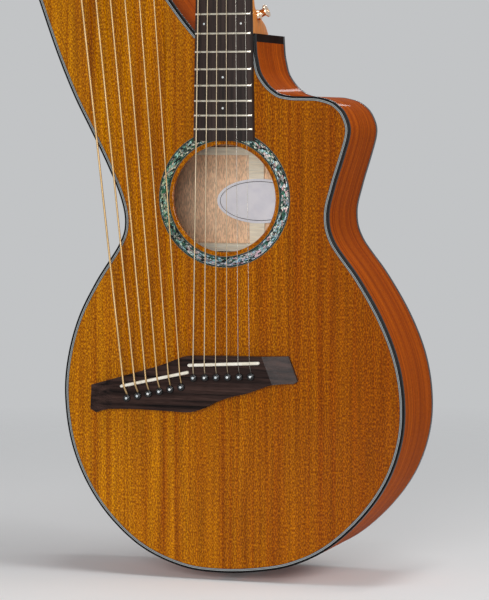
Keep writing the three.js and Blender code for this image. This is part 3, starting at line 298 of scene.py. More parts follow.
# %% [markdown]
# ## Grids and stacks
# Most surfaces here are grids: a section of a few points, carried along a line. Modifiers make such
# surfaces too, but a grid from a formula can take its own map and follow any line. Small shapes
# that repeat, such as frets or pins, are stacked into one.

# %% Grids and stacks


def grid_faces(rows, columns, wrap_rows=False, wrap_columns=False, first=0):
    """Four-cornered faces of a grid: each point with its next in the row, column and both."""
    index = first + np.arange(rows * columns).reshape(rows, columns)
    right, below = np.roll(index, -1, 1), np.roll(index, -1, 0)
    corners = np.stack([index, right, np.roll(below, -1, 1), below], -1)
    last_row, last_column = rows - (not wrap_rows), columns - (not wrap_columns)
    return corners[:last_row, :last_column].reshape(-1, 4).tolist()


def capped_faces(rows, columns):
    """Faces of a closed section carried along a line, with one face over each end."""
    ends = [list(range(columns)), list(range((rows - 1) * columns, rows * columns))]
    return grid_faces(rows, columns, False, True) + ends


def swept(name, grid, material, slot, closed=False, **more):
    """Piece from a grid whose columns go round a section; a closed one has no ends to cap."""
    rows, columns = grid.shape[:2]
    faces = grid_faces(rows, columns, True, True) if closed else capped_faces(rows, columns)
    return piece(name, (grid, faces), material, slot, **more)


def stacked(shapes):
    """Joins several shapes into one, so that small repeats make one piece."""
    points, faces, first = [], [], 0
    for some, corners in shapes:
        points.append(np.asarray(some, float).reshape(-1, 3))
        faces += [[first + k for k in face] for face in corners]
        first += len(points[-1])
    return np.concatenate(points), faces


print("faces of a 3 by 3 grid:", len(grid_faces(3, 3)))

# %% [markdown]
# ## Shaders as sums
# A finish is a recipe: so much of this tone, a little of that, rougher where the pores are. Wired
# by hand it becomes a web that nobody reads. One class wraps a socket and lets it be added,
# multiplied and compared in plain Python, and any other node comes from one method that takes the
# node's type, its settings and its inputs.

# %% Signals


class Signal:
    """One socket that carries a number, a colour, a vector or a shader."""

    def __init__(self, tree, socket):
        self.tree, self.socket = tree, socket

    def _math(self, operation, first, second):
        return self.tree.node("ShaderNodeMath", {"operation": operation}, {0: first, 1: second})

    def __add__(self, other):
        return self._math("ADD", self, other)

    __radd__ = __add__

    def __mul__(self, other):
        return self._math("MULTIPLY", self, other)

    __rmul__ = __mul__

    def __sub__(self, other):
        return self._math("SUBTRACT", self, other)

    def __rsub__(self, other):
        return self._math("SUBTRACT", other, self)

    def above(self, other):
        """1 where this signal is greater than the other, and 0 elsewhere."""
        return self._math("GREATER_THAN", self, other)

    def larger(self, other):
        """The larger of the two."""
        return self._math("MAXIMUM", self, other)


print("helper class", Signal.__name__)

# %% Trees


class Tree:
    """A node tree being written, for a material or for the world."""

    def __init__(self, owner):
        owner.use_nodes = True
        self.nodes, self.links = owner.node_tree.nodes, owner.node_tree.links
        self.nodes.clear()

    def feed(self, socket, value):
        """A signal is linked, and anything else is set on the socket."""
        if isinstance(value, Signal):
            self.links.new(value.socket, socket)
        else:
            socket.default_value = value

    def node(self, kind, settings=None, inputs=None, output=0):
        """New node with its settings first and then its inputs; gives the chosen output."""
        made = self.nodes.new(kind)
        for key, value in (settings or {}).items():
            if key == "stops":
                ramp = made.color_ramp
                while len(ramp.elements) < len(value):
                    ramp.elements.new(0.5)
                for element, (place, colour) in zip(ramp.elements, value):
                    element.position, element.color = place, colour
            elif key == "interpolation":
                made.color_ramp.interpolation = value
            else:
                setattr(made, key, value)
        for key, value in (inputs or {}).items():
            self.feed(made.inputs[key], value)
        return Signal(self, made.outputs[output]) if made.outputs else made


print("helper class", Tree.__name__)

# %% [markdown]
# ## Recipes for finishes
# A recipe is the node tree of one material, with its main shader already in place. The few nodes
# that nearly every finish needs have short names here: noise, a ramp, a mix, a bump. They could be
# wired again for each finish, but then each finish would be a page long.

# %% Recipes


class Recipe(Tree):
    """A material: its main shader, and short names for the nodes that finishes use most."""

    def __init__(self, name, **constants):
        self.material = bpy.data.materials.new(name)
        super().__init__(self.material)
        shader = self.node("ShaderNodeBsdfPrincipled")
        self.shader = shader.socket.node
        self.node("ShaderNodeOutputMaterial", None, {"Surface": shader})
        self.give(**constants)

    def give(self, **sockets):
        """Feeds sockets of the main shader and hands the material over."""
        for key, value in sockets.items():
            self.feed(self.shader.inputs[key.replace("_", " ")], value)
        return self.material

    def run(self):
        """The piece's own map, in metres: along the piece, and across it."""
        return self.node("ShaderNodeUVMap", {"uv_map": "run"})

    def part(self, vector, axis):
        """One of a vector's three numbers."""
        return self.node("ShaderNodeSeparateXYZ", None, {"Vector": vector}, axis)

    def places(self, scale=(1, 1, 1), source="Object", turn=(0, 0, 0)):
        """Object coordinates or the piece's own map, stretched by a scale for each direction."""
        own = source == "run"
        start = self.run() if own else self.node("ShaderNodeTexCoord", output="Object")
        values = {"Vector": start, "Scale": scale, "Rotation": turn}
        return self.node("ShaderNodeMapping", None, values)

    def noise(self, scale, detail=3, rough=0.55, source="Object", bend=0):
        """Noise with scale spots for each metre in each direction."""
        where = self.places(scale, source)
        values = {"Vector": where, "Scale": 1.0, "Detail": detail, "Roughness": rough}
        return self.node("ShaderNodeTexNoise", None, {**values, "Distortion": bend})

    def cells(self, where, settings, output):
        """Pattern of cells: a colour for each, or the distance to the nearest edge."""
        values = {"Vector": where, "Scale": 1.0}
        return self.node("ShaderNodeTexVoronoi", settings, values, output)

    def ramp(self, value, stops, interpolation="LINEAR"):
        """Colour for a number, from a list of places and their colours."""
        settings = {"stops": stops, "interpolation": interpolation}
        return self.node("ShaderNodeValToRGB", settings, {"Fac": value})

    def span(self, value, low, high, start=0.0, end=1.0):
        """Maps low..high to start..end and holds the ends."""
        values = {"Value": value, "From Min": low, "From Max": high, "To Min": start, "To Max": end}
        return self.node("ShaderNodeMapRange", {"clamp": True}, values)

    def mix(self, share, first, second, blend="MIX"):
        """Colour between two colours, or their product where the blend says MULTIPLY."""
        settings = {"data_type": "RGBA", "blend_type": blend}
        return self.node("ShaderNodeMix", settings, {0: share, 6: first, 7: second}, output=2)

    def vector(self, operation, values):
        """Arithmetic with whole vectors or colours."""
        return self.node("ShaderNodeVectorMath", {"operation": operation}, values)

    def bump(self, height, strength, depth):
        """Tilted light where the height signal rises or falls; the depth is in metres."""
        values = {"Height": height, "Strength": strength, "Distance": depth}
        return self.node("ShaderNodeBump", None, values)


print("recipe methods", sum(callable(thing) for thing in vars(Recipe).values()))

# %% Colours


def shade(red, green, blue):
    """Colour from 0 to 255 as a screen shows it, turned into linear light: ((c + a) / (1 + a))^2.4."""
    screen = np.array([red, green, blue]) / 255
    linear = np.where(screen <= 0.04045, screen / 12.92, ((screen + 0.055) / 1.055) ** 2.4)
    return (*linear.tolist(), 1.0)


def along_axis(axis, across, lengthwise):
    """Scale of a grain: many spots across it and few along one axis."""
    return tuple(lengthwise if k == axis else across for k in range(3))


print("middle grey in linear light:", round(shade(128, 128, 128)[0], 3))

# %% [markdown]
# ## Lacquered mahogany
# The top is plain-sawn mahogany under thick gloss lacquer. Seen close, it is a field of short
# upright flecks, where pores and ray cells cut the surface, over broad upright stripes that turn
# from golden yellow on the bass side to red-brown on the treble side. An image could give that, but
# noise that is stretched up the grain never repeats and fits every piece. A clear coat gives the
# gloss without hiding the grain.

# %% Lacquered wood
fleck_reach = {"red": (0.27, 0.66), "green": (0.35, 0.98), "blue": (0.3, 1.8)}


def lacquered(
    name, light, dark, red, source="Object", along=2, tilt=0.0, gloss=0.55, index=1.3, speck=1.0,
):
    """Grain along one axis of the coordinates: stripes, flecks and pores under a clear coat.

    The colour is (dark to light, then to red) times the flecks and the figure. The reach says how
    much darker and how much lighter a fleck is. A bright fleck is more golden than the ground, so
    green is moved more than red. The tilt turns the whole ground to red across the piece.
    """
    recipe = Recipe(name, Roughness=0.5, Specular_IOR_Level=0.0, Coat_Weight=gloss)
    recipe.give(Coat_Roughness=0.03, Coat_IOR=index)

    def grain(across, lengthwise, detail, rough, bend=0):
        return recipe.noise(along_axis(along, across, lengthwise), detail, rough, source, bend)

    broad, stripes = grain(22, 1.3, 2, 0.5), grain(95, 3.2, 3, 0.6, 0.25)
    figure, bands = grain(300, 8, 3, 0.6), grain(150, 1.1, 2, 0.5)
    flecks, pores = grain(980, 430, 2, 0.6), grain(1300, 130, 2, 0.4)
    tone = recipe.span(stripes * 0.55 + broad * 0.45, 0.32, 0.66)
    ground = recipe.mix(tone, shade(*dark), shade(*light))
    if tilt:
        x = recipe.part(recipe.places(), 0)
        redder = recipe.span(x * tilt + broad * 0.9, 0.2, 0.85) * 0.8
    else:
        redder = recipe.span(broad, 0.45, 0.7) * 0.6
    ground = recipe.mix(redder, ground, shade(*red))
    ground = recipe.mix(recipe.span(bands, 0.52, 0.64) * 0.55, ground, shade(*red))
    streak = recipe.span(figure, 0.35, 0.65, 0.82, 1.16)
    channels = {}
    for channel, (low, high) in enumerate(fleck_reach.values()):
        fleck = recipe.span(flecks, 0.43, 0.66, 1 - low * speck, 1 + high * speck)
        channels[channel] = fleck * streak
    tint = recipe.node("ShaderNodeCombineXYZ", None, channels)
    lit = recipe.vector("MULTIPLY", {0: ground, 1: tint})
    pore = recipe.span(pores, 0.6, 0.78)
    colour = recipe.mix(pore * 0.42, lit, shade(*[0.42 * value for value in dark]))
    return recipe.give(Base_Color=colour, Normal=recipe.bump(flecks * 0.5 - pore, 0.08, 0.0002))


print("flecks for each metre along X, Y and Z:", along_axis(2, 980, 430))

# %% Top, side and back wood
top_wood = lacquered(
    "top mahogany", (180, 112, 2), (132, 64, 1), (122, 52, 0), tilt=2.6, speck=1.25,
)
side_wood = lacquered(
    "side mahogany", (198, 94, 4), (150, 60, 2), (126, 44, 1), "run", 0,
    gloss=0.1, index=1.18, speck=0.35,
)
back_wood = lacquered(
    "back mahogany", (178, 96, 14), (128, 60, 7), (106, 44, 4), gloss=0.4, speck=0.6,
)
print("materials so far", len(bpy.data.materials))

# %% [markdown]
# ## Bare and dark woods
# Inside the box the wood is bare and dull. It is pale, partly as bare mahogany is and partly as
# painted light that comes in through the sound hole. The neck is satin mahogany, fretboard and
# bridge are dense dark wood with long pale-brown streaks, and the braces are straight-grained
# spruce. They could all be variants of the lacquered wood, but two tones and fine pores are enough
# for them, and a shorter recipe is easier to tune.

# %% Plain woods


def plain_wood(
    name, light, dark, across, lengthwise, along, roughness,
    coat=0.0, streak=0.5, shine=0.15, pore=14, speck=0.2,
):
    """Two tones along the grain, with fine pores that also move the roughness a little.

    A pore is drawn with across * 9 and lengthwise * pore, and it moves the tone by the speck.
    """
    recipe = Recipe(name, Specular_IOR_Level=shine, Coat_Weight=coat)
    recipe.give(Coat_Roughness=0.12, Coat_IOR=1.3)
    grain = recipe.noise(along_axis(along, across, lengthwise), 4, 0.6, bend=0.4)
    pores = recipe.noise(along_axis(along, across * 9, lengthwise * pore), 2, 0.5)
    tone = recipe.span(grain, 0.5 - streak / 2, 0.5 + streak / 2)
    spots = recipe.span(pores, 0.35, 0.72, 1 - speck, 1 + speck)
    ground = recipe.mix(tone, shade(*dark), shade(*light))
    colour = recipe.vector("SCALE", {0: ground, "Scale": spots})
    rough = recipe.span(pores, 0.3, 0.7, roughness - 0.06, roughness + 0.08)
    bump = recipe.bump(pores, 0.15, 0.0002)
    return recipe.give(Base_Color=colour, Roughness=rough, Normal=bump)


# partly the bare wood's own tone, and partly painted light from the sound hole
bare_wood_painted_lit = plain_wood(
    "bare mahogany painted lit", (255, 218, 182), (238, 194, 158), 95, 8, 2, 0.7, pore=28, speck=0.3,
)
neck_wood = plain_wood(
    "neck mahogany", (234, 148, 58), (206, 120, 38), 110, 4, 2, 0.4, 0.06, 0.45, shine=0.05,
)
board_wood = plain_wood(
    "fretboard wood", (58, 45, 41), (24, 19, 18), 260, 6, 2, 0.5, streak=0.35, shine=0.12,
)
bridge_wood = plain_wood(
    "bridge wood", (64, 46, 41), (6, 3, 3), 230, 7, 0, 0.28, streak=0.36, shine=0.09,
)
brace_wood = plain_wood("brace spruce", (236, 214, 176), (214, 184, 138), 380, 5, 2, 0.75)
# painted light: a paler copy of the brace spruce, for the back braces seen through the hole
spruce_painted_lit = plain_wood("cross brace spruce painted lit", (255, 248, 230), (248, 232, 204), 380, 5, 0, 0.75)
veneer_wood = plain_wood("head veneer", (60, 46, 42), (26, 20, 20), 200, 5, 2, 0.3, 0.6, 0.4)
print("materials so far", len(bpy.data.materials))

# %% [markdown]
# ## Plastic, bone and metal
# Binding and pins are black plastic, nuts and saddles are bone, and the fittings are plated metal.
# One even colour would do for each, but real parts keep small differences of roughness from
# handling and polishing, and those make a highlight believable. So one recipe serves them all, with
# a roughness that wanders and a faint second tone.

# %% Even finishes


def polished(name, colour, roughness, metal=0.0, coat=0.0, wear=0.06, tint=None, shine=0.5):
    """Colour to tint where a slow noise is high; roughness within wear of its middle value."""
    recipe = Recipe(name, Metallic=metal, Specular_IOR_Level=shine, Coat_Weight=coat)
    recipe.give(Coat_Roughness=0.05)
    drift = recipe.noise((60, 60, 60), 3, 0.6)
    fine = recipe.noise((900, 900, 900), 2, 0.5)
    rough = recipe.span(drift, 0.35, 0.65, max(roughness - wear, 0.02), roughness + wear)
    base = recipe.mix(recipe.span(drift, 0.4, 0.62), shade(*colour), shade(*(tint or colour)))
    bump = recipe.bump(fine, 0.03, 0.0001)
    return recipe.give(Base_Color=base, Roughness=rough, Normal=bump)


black_plastic = polished("binding black", (10, 10, 11), 0.26, tint=(15, 14, 15), shine=0.08)
pin_black = polished("pin black", (5, 5, 6), 0.2, coat=0.35, shine=0.3)
# painted shade: the dark band on the treble rib where it meets the neck joint
painted_joint_shade = polished("painted joint shade", (28, 12, 5), 0.5, shine=0.01)
bone = polished("bone", (230, 226, 214), 0.36, coat=0.2, tint=(216, 208, 190))
paper = polished("label paper", (242, 240, 246), 0.8, tint=(234, 232, 240))
# painted highlight: the pale dot on each bridge pin's head
pin_highlight_paint = polished("painted pin highlight", (214, 218, 218), 0.2, coat=0.3, tint=(190, 200, 204))
board_pearl = polished("board painted pin highlight", (206, 208, 206), 0.3, tint=(182, 190, 192))
fret_metal = polished("fret metal", (222, 214, 196), 0.22, 1.0, tint=(206, 198, 182))
gold = polished("gold plate", (246, 198, 124), 0.17, 1.0, tint=(236, 178, 102))
button_metal = polished(
    "button metal", (246, 222, 198), 0.12, 1.0, wear=0.04, tint=(230, 192, 158),
)
jack_metal = polished("jack metal", (204, 204, 206), 0.2, 1.0, tint=(186, 186, 190))
steel_string = polished("plain steel", (160, 156, 146), 0.3, 1.0)
print("materials so far", len(bpy.data.materials))

# %% [markdown]
# ## Plates with an edge
# Soundboard, back, heads and gear wheels are all flat plates with a shaped edge and holes. Cutting
# holes with booleans leaves long thin faces. Here a plate is made of walls, which are grids of
# rings going from its front to its back, and of two flat caps between the walls' first and last
# rings, which Blender cuts into triangles itself.

# %% Walls


def ring_wall(line, profile):
    """Wall of a closed line: row k is the line moved inwards by inset k, at depth k."""
    return np.stack([
        np.column_stack([inset(line, amount), np.full(len(line), depth)])
        for amount, depth in profile
    ])


def oval(centre, half, count=96):
    """Oval in the plane of a plate: centre + (half width * cos, half height * sin)."""
    angle = np.linspace(0, 2 * np.pi, count, endpoint=False)
    return np.column_stack([centre[0] + half[0] * np.cos(angle), centre[1] + half[1] * np.sin(angle)])


def round_wall(x, z, profile, count=160):
    """Wall of a round hole: row k is a circle of radius k at depth k."""
    return np.stack([
        np.column_stack([oval((x, z), (r, r), count), np.full(count, depth)]) for r, depth in profile
    ])


print("a straight hole's wall has", len(round_wall(0, 0, [(1, 0), (1, 1)])), "rings")

# %% Plates


def plate(walls):
    """Shape of a plate, each point as (across, up, depth): walls, and a cap at each end of them."""
    points, faces, first, rims = [], [], 0, ([], [])
    for wall in walls:
        rows, count = wall.shape[:2]
        faces += grid_faces(rows, count, False, True, first)
        rims[0].append((first, wall[0]))
        rims[1].append((first + (rows - 1) * count, wall[-1]))
        points.append(wall.reshape(-1, 3))
        first += rows * count
    for rim in rims:
        index = np.concatenate([start + np.arange(len(line)) for start, line in rim])
        loops = [[Vector((x, z, 0)) for x, z, _ in line.tolist()] for _, line in rim]
        faces += [[int(index[k]) for k in corner] for corner in tessellate_polygon(loops)]
    return np.concatenate(points), faces


def upright(shape, place=(0, 0, 0)):
    """Shape given as (across, up, depth), stood on the body as (x, y, z) and moved to a place."""
    points, faces = shape
    return points[:, [0, 2, 1]] + np.asarray(place, float), faces


def softened(line, rounds=3):
    """Corner cutting: each round replaces a corner by two points a quarter along its edges."""
    for _ in range(rounds):
        after = np.roll(line, -1, 0)
        line = np.stack([0.75 * line + 0.25 * after, 0.25 * line + 0.75 * after], 1).reshape(-1, 2)
    return line


print("a cube made as a plate has", len(plate([ring_wall(square, [(0, 0), (0, 1)])])[1]), "faces")

# %% [markdown]
# ## Soundboard
# The soundboard is one flat plate over body and arm. A groove round the sound hole holds the
# rosette, flush with the wood, and the edge of the hole is slightly rounded, as it is after
# sanding. Both follow from the profile of one wall, so nothing has to be cut.

# %% Soundboard
hole_x, hole_z, hole_radius = -1.1, -476.0, 52.5
rosette_inner, rosette_outer = 56.6, 67.4
binding_width, purfling_width = 2.0, 2.3
top_thickness = 2.8
ease, groove_depth = 0.02, 1.3
groove = [
    (rosette_outer + ease, 0), (rosette_outer + ease, groove_depth),
    (rosette_inner - ease, groove_depth), (rosette_inner - ease, 0),
    (hole_radius + 0.6, 0), (hole_radius + 0.2, 0.15), (hole_radius, 0.6), (hole_radius, top_thickness),
]
edge_in = binding_width + purfling_width
board = plate([
    ring_wall(outline, [(edge_in, 0), (edge_in, top_thickness)]),
    round_wall(hole_x, hole_z, groove, 200),
])
piece("soundboard_plate", upright(board), top_wood, "top_wood", node="soundboard")
print("soundboard", made_triangles["soundboard_plate"], "triangles")

# %% [markdown]
# ## Rosette
# The rosette is a mosaic of shell chips between two dark lines. Each chip has its own tilt, so it
# sends back its own mix of green, blue, pink and white, and neighbours differ strongly. Chips could
# be modelled one by one. A cell pattern with one colour for each cell looks the same at this size
# and follows the ring, because the ring carries a map of its length and width.

# %% Shell finish
chip_stops = [
    (0.0, (4, 6, 8)), (0.2, (14, 28, 28)), (0.29, (70, 142, 116)), (0.36, (8, 12, 16)),
    (0.47, (140, 206, 204)), (0.54, (250, 255, 240)), (0.62, (40, 56, 44)), (0.7, (255, 255, 252)),
    (0.78, (236, 190, 194)), (0.85, (16, 20, 30)), (0.94, (186, 226, 240)),
]
line_share = 0.13


def shell_finish():
    """Shell chips: each cell has one colour of the ramp, times its grain and its dark joints.

    Painted reflection tints the ring darker and greener on the bass side, whiter on the treble side,
    and bluer at its foot. Outside the middle of its width it has two lines, with a hair of white
    against the chips.
    """
    recipe = Recipe("shell mosaic", Specular_IOR_Level=0.2, Coat_Weight=0.25, Coat_Roughness=0.03)
    where = recipe.places((340, 620, 1), "run", (0, 0, 0.5))
    bent = recipe.noise((420, 420, 1), 3, 0.6, "run")
    moved = recipe.vector("MULTIPLY_ADD", {0: bent, 1: (1.8, 1.8, 0), 2: where})
    pick = recipe.part(recipe.cells(moved, None, "Color"), 0)
    joint = recipe.cells(moved, {"feature": "DISTANCE_TO_EDGE"}, "Distance")
    swirl = recipe.noise((900, 1100, 1), 3, 0.7, "run", 2.0)
    hue = recipe.span(pick * 0.8 + swirl * 0.4, 0.14, 0.98)
    chips = recipe.ramp(hue, [(place, shade(*colour)) for place, colour in chip_stops])
    grain = recipe.span(recipe.noise((1700, 1700, 1), 2, 0.5, "run"), 0.35, 0.65, 0.4, 1.5)
    gaps = recipe.span(joint, 0.02, 0.12, 0.08, 1.0)
    chips = recipe.vector("SCALE", {0: chips, "Scale": grain * gaps})
    centre_x, centre_z, reach = hole_x * MM, hole_z * MM, rosette_outer * MM
    # painted reflection: darker and greener on the bass side, whiter on the treble side
    side = recipe.span(recipe.part(recipe.places(), 0), centre_x - reach, centre_x + reach)
    tint = recipe.mix(side, shade(196, 212, 180), shade(255, 244, 240))
    chips = recipe.mix(1.0, chips, tint, "MULTIPLY")
    # painted reflection: bluer towards the ring's foot
    height = recipe.part(recipe.places(), 2)
    foot = recipe.span(height, centre_z - reach, centre_z - reach * 0.3, 0.55, 0.0)
    chips = recipe.mix(foot, chips, recipe.mix(1.0, chips, shade(196, 190, 255), "MULTIPLY"))
    share = recipe.part(recipe.run(), 1) * (1 / ((rosette_outer - rosette_inner) * MM))
    line, teal, hair = shade(12, 14, 16), shade(66, 92, 86), shade(255, 255, 255)
    stops = [(0.0, teal), (0.05, line), (line_share, hair), (1 - line_share, line), (0.95, teal)]
    edges = recipe.ramp(share, stops, "CONSTANT")
    middle = share.above(line_share) * (1 - line_share - share).above(0.0)
    colour = recipe.mix(middle, edges, chips)
    return recipe.give(Base_Color=colour, Roughness=recipe.span(pick, 0, 1, 0.16, 0.34))


shell = shell_finish()
print("chip colours", len(chip_stops))

# %% Rosette ring
ring_count, rosette_thickness = 240, 1.2
rosette_profile = [
    (rosette_inner, 0), (rosette_outer, 0), (rosette_outer, rosette_thickness),
    (rosette_inner, rosette_thickness),
]
rings = round_wall(hole_x, hole_z, rosette_profile, ring_count)
middle_radius = (rosette_inner + rosette_outer) / 2
ring_length = np.linspace(0, 2 * np.pi, ring_count, endpoint=False) * middle_radius
rosette_map = np.stack([
    np.column_stack([ring_length, np.full(ring_count, r - rosette_inner)]) for r, _ in rosette_profile
], 1)
swept(
    "rosette_ring", rings.transpose(1, 0, 2)[..., [0, 2, 1]], shell, "pearl",
    closed=True, node="rosette", uv=rosette_map,
)
print("rosette", rosette_inner, "to", rosette_outer, "mm")

# %% [markdown]
# ## Binding and purfling
# The binding is a square strip of black plastic let into the corner of the body, with its outer
# corner rounded by scraping. The purfling beside it is a thin sandwich of grey and black lines. The
# lines could be four strips, but they are half a millimetre wide, so they are one strip whose map
# says how far across a place lies.

# %% Purfling finish


def line_finish():
    """Purfling: a colour for each share of the strip's width, counted from the binding."""
    recipe = Recipe("purfling lines", Roughness=0.35, Specular_IOR_Level=0.2, Coat_Weight=0.15)
    recipe.give(Coat_Roughness=0.04)
    share = recipe.part(recipe.run(), 1) * (1 / (purfling_width * MM))
    pale, dark, glue = shade(150, 155, 155), shade(30, 32, 34), shade(58, 40, 20)
    stops = [(0.0, pale), (0.26, dark), (0.5, pale), (0.76, dark), (0.97, glue)]
    return recipe.give(Base_Color=recipe.ramp(share, stops, "CONSTANT"))


purfling_lines = line_finish()
print("materials so far", len(bpy.data.materials))

# %% Binding and purfling
binding_height, purfling_depth = 6.0, 1.2


def band_map(grid, widths):
    """Map of a band: the length along the outline, and a given number for each section point."""
    rows = grid.shape[0]
    along = lengths(outline)[:rows]
    return np.stack([np.column_stack([along, np.full(rows, width)]) for width in widths], 1)


scraped_corner = [(0.0, 0.7), (0.12, 0.3), (0.35, 0.1), (0.75, 0.0)]
binding_profile = scraped_corner + [
    (binding_width, 0.0), (binding_width, binding_height), (0.0, binding_height),
]
front_strip = [(amount, depth, False) for amount, depth in binding_profile]
swept("top_binding_strip", band(front_strip), black_plastic, "binding", node="top_binding")

line_strip = band([
    (binding_width, 0.0, False), (edge_in, 0.0, False),
    (edge_in, purfling_depth, False), (binding_width, purfling_depth, False),
])
line_map = band_map(line_strip, [0, purfling_width, purfling_width, 0])
swept("top_purfling_lines", line_strip, purfling_lines, "purfling", uv=line_map)

closed_outline = outline[1:-1]
back_strip = [(amount, -depth, True) for amount, depth in binding_profile]
swept(
    "back_binding_strip", band(back_strip, closed_outline), black_plastic, "binding",
    closed=True, node="back_binding",
)
print("binding", made_triangles["top_binding_strip"], "triangles")

# %% [markdown]
# ## Ribs
# The ribs are thin boards bent over a hot pipe, from the tail to the neck: the bass one goes over
# the arm. Their grain follows the bend. A flat picture of wood would slide over it, so they carry a
# map whose first number is the length along the rib. A black graft covers the tail joint, and a
# dark band of painted shade lies on the treble rib's end, just under the neck joint.

# %% Ribs
rib_inset, rib_thickness, overlap = 0.06, 2.2, 0.2
strip_thickness, shade_height, seam_rows, lower_tail = 1.0, 8.0, 3, 30.0
under_top, over_back = (binding_height - overlap, False), (overlap - binding_height, True)


def rib_band(near, far):
    """Band between two insets, from under the top binding to the back binding."""
    return band([(near, *under_top), (far, *under_top), (far, *over_back), (near, *over_back)])


rib_grid, strip_grid = rib_band(rib_inset, rib_thickness), rib_band(0.0, strip_thickness)
rib_map = band_map(rib_grid, [0, 0, 100, 100])
near_tail = np.flatnonzero(outline[:, 1] < tail_z + lower_tail)
tail_row = int(near_tail[np.argmin(np.abs(outline[near_tail, 0]))])
for name, rows in {"bass_rib": slice(0, tail_row), "treble_rib": slice(tail_row - 1, None)}.items():
    swept(name + "_board", rib_grid[rows], side_wood, "side_wood", node=name, uv=rib_map[rows])

# painted shade: the rib's last few millimetres below the neck joint, on the treble side
beside_neck = (outline[:, 0] > joint_width / 2 + 1) & (outline[:, 1] > joint_z - shade_height)
shaded_rows = np.flatnonzero(beside_neck)
swept("tail_graft", strip_grid[tail_row - seam_rows:tail_row + seam_rows], black_plastic, "binding")
swept("rib_end_painted_shade", strip_grid[shaded_rows[0]:shaded_rows[-1] + 1], painted_joint_shade, "side_wood")
print("tail at row", tail_row, "of", len(outline))

# %% [markdown]
# ## Back and label
# The box is deeper at the tail than at the neck, so its back slopes. The back's outside is lacquered
# and its inside is bare. Two plates could show that, but one plate with two finishes has no seam,
# and each face takes the finish that its normal asks for. A plain paper oval with a thin border
# lies on the centre strip, where it shows through the sound hole.

# %% Back plate
back_thickness = 2.8


def on_slope(shape, lift=0.0):
    """Shape laid on the sloping back, lifted from its outer face into the box."""
    points, faces = upright(shape)
    points[:, 1] += depth_at(points[:, 2]) - lift
    return points, faces


back_wall = ring_wall(closed_outline, [(binding_width, -back_thickness), (binding_width, 0)])
# the inner faces take the pale bare wood, which is partly painted light
back_finishes = [back_wood, bare_wood_painted_lit]
back = piece("back_board", on_slope(plate([back_wall])), back_finishes, "back_wood", node="back_plate")
facing = np.empty(len(back.data.polygons) * 3)
back.data.polygons.foreach_get("normal", facing)
inner = (facing.reshape(-1, 3)[:, 1] < -0.5).astype(np.int32)
back.data.polygons.foreach_set("material_index", inner)
print("inner faces", int(inner.sum()))

# %% Label
label_centre, label_half, border_half, border_line = (3.0, -481.0), (45.0, 22.5), (42.0, 20.0), 0.6
centre_strip = 2.9
sheet = plate([ring_wall(oval(label_centre, label_half), [(0, -0.2), (0, 0)])])
piece("label_sheet", on_slope(sheet, back_thickness + centre_strip), paper, "bone")
border = oval(label_centre, border_half)
border_inside = oval(label_centre, [half - border_line for half in border_half])[::-1]
line = plate([ring_wall(edge, [(0, -0.1), (0, 0)]) for edge in (border, border_inside)])
piece("label_border", on_slope(line, back_thickness + centre_strip + 0.15), pin_black, "bone")
print("label", 2 * label_half[0], "by", 2 * label_half[1], "mm")

# %% [markdown]
# ## Fretboard
# The board is a little wider at the body than at the nut, and its top is part of a cylinder, which
# makes barring with one finger easy. A box with a bevel would be flat on top. Here the section is
# an arc with two sides, carried from the nut to the sound hole.

# %% Fretboard
scale_length, nut_width = 632.0, 46.0
board_end, board_thickness, board_radius = -420.0, 7.3, 406.0
side_round, side_drop, glue_line = 0.4, 0.5, 0.05


def board_half(z):
    """Half width of the board at a height z: it grows evenly from the nut to the body."""
    return (nut_width + (joint_width - nut_width) * z / joint_z) / 2


def board_top(x, lift=0.0):
    """Depth of the board's crown: its middle, plus the drop R - sqrt(R^2 - x^2) of a cylinder."""
    return -board_thickness - lift + board_radius - np.sqrt(board_radius**2 - x**2)


rows = []
for z in np.linspace(-0.3, board_end, 60):
    half = board_half(z)
    x = np.linspace(-1, 1, 25) * (half - side_round)
    shoulder = board_top(half) + side_drop
    sides = [(half, shoulder, z), (half, -glue_line, z), (-half, -glue_line, z), (-half, shoulder, z)]
    rows.append(np.concatenate([np.column_stack([x, board_top(x), np.full_like(x, z)]), sides]))
swept("fretboard_board", np.stack(rows), board_wood, "fretboard_wood", node="fretboard")
print("board", nut_width, "to", joint_width, "mm wide")

# %% [markdown]
# ## Frets
# A fret is a wire with a rounded crown, bent to the board's curve, and its ends are filed down just
# inside the board's edge. Each fret shortens the string by the same ratio, the twelfth root of a
# half, so their places are worked out and not measured.

# %% Frets
fret_count, fret_samples, fret_gap = 18, 17, 0.35
crown = [
    (1.1, -0.1), (1.05, 0.45), (0.7, 0.85), (0.0, 1.0), (-0.7, 0.85), (-1.05, 0.45), (-1.1, -0.1),
]
share = np.concatenate([[-1], np.linspace(-0.975, 0.975, fret_samples - 2), [1]])
filed = np.where(np.abs(share) < 1, 1.0, 0.6)


def fret_place(number):
    """Height of a fret: minus the scale length times 1 - 2^(-number / 12)."""
    return -scale_length * (1 - 2 ** (-number / 12))


def fret(z):
    """Wire across the board at a height z: its section stands on the board's curve."""
    x = share * (board_half(z) - fret_gap)
    wire = [
        np.column_stack([x, board_top(x, high * filed), np.full_like(x, z + along)])
        for along, high in crown
    ]
    return np.stack(wire, 1), capped_faces(fret_samples, len(crown))


frets = [fret(fret_place(number)) for number in range(1, fret_count + 1)]
piece("fret_wires", stacked(frets), fret_metal, "fret_metal")
print("frets", len(frets), "the last at", round(fret_place(fret_count)), "mm")

# %% [markdown]
# ## Turned pieces and position dots
# Dots, pins, posts, jack and buttons are turned on a lathe. A turned piece is a profile of radius
# and height carried round an axis, as Blender's Screw modifier does it, but worked out at once, so
# that it can be put in its place. The poles close by themselves when doubled points are merged.
# Small pearl dots halfway between frets tell the player where the hand is.

# %% Lathe and dots


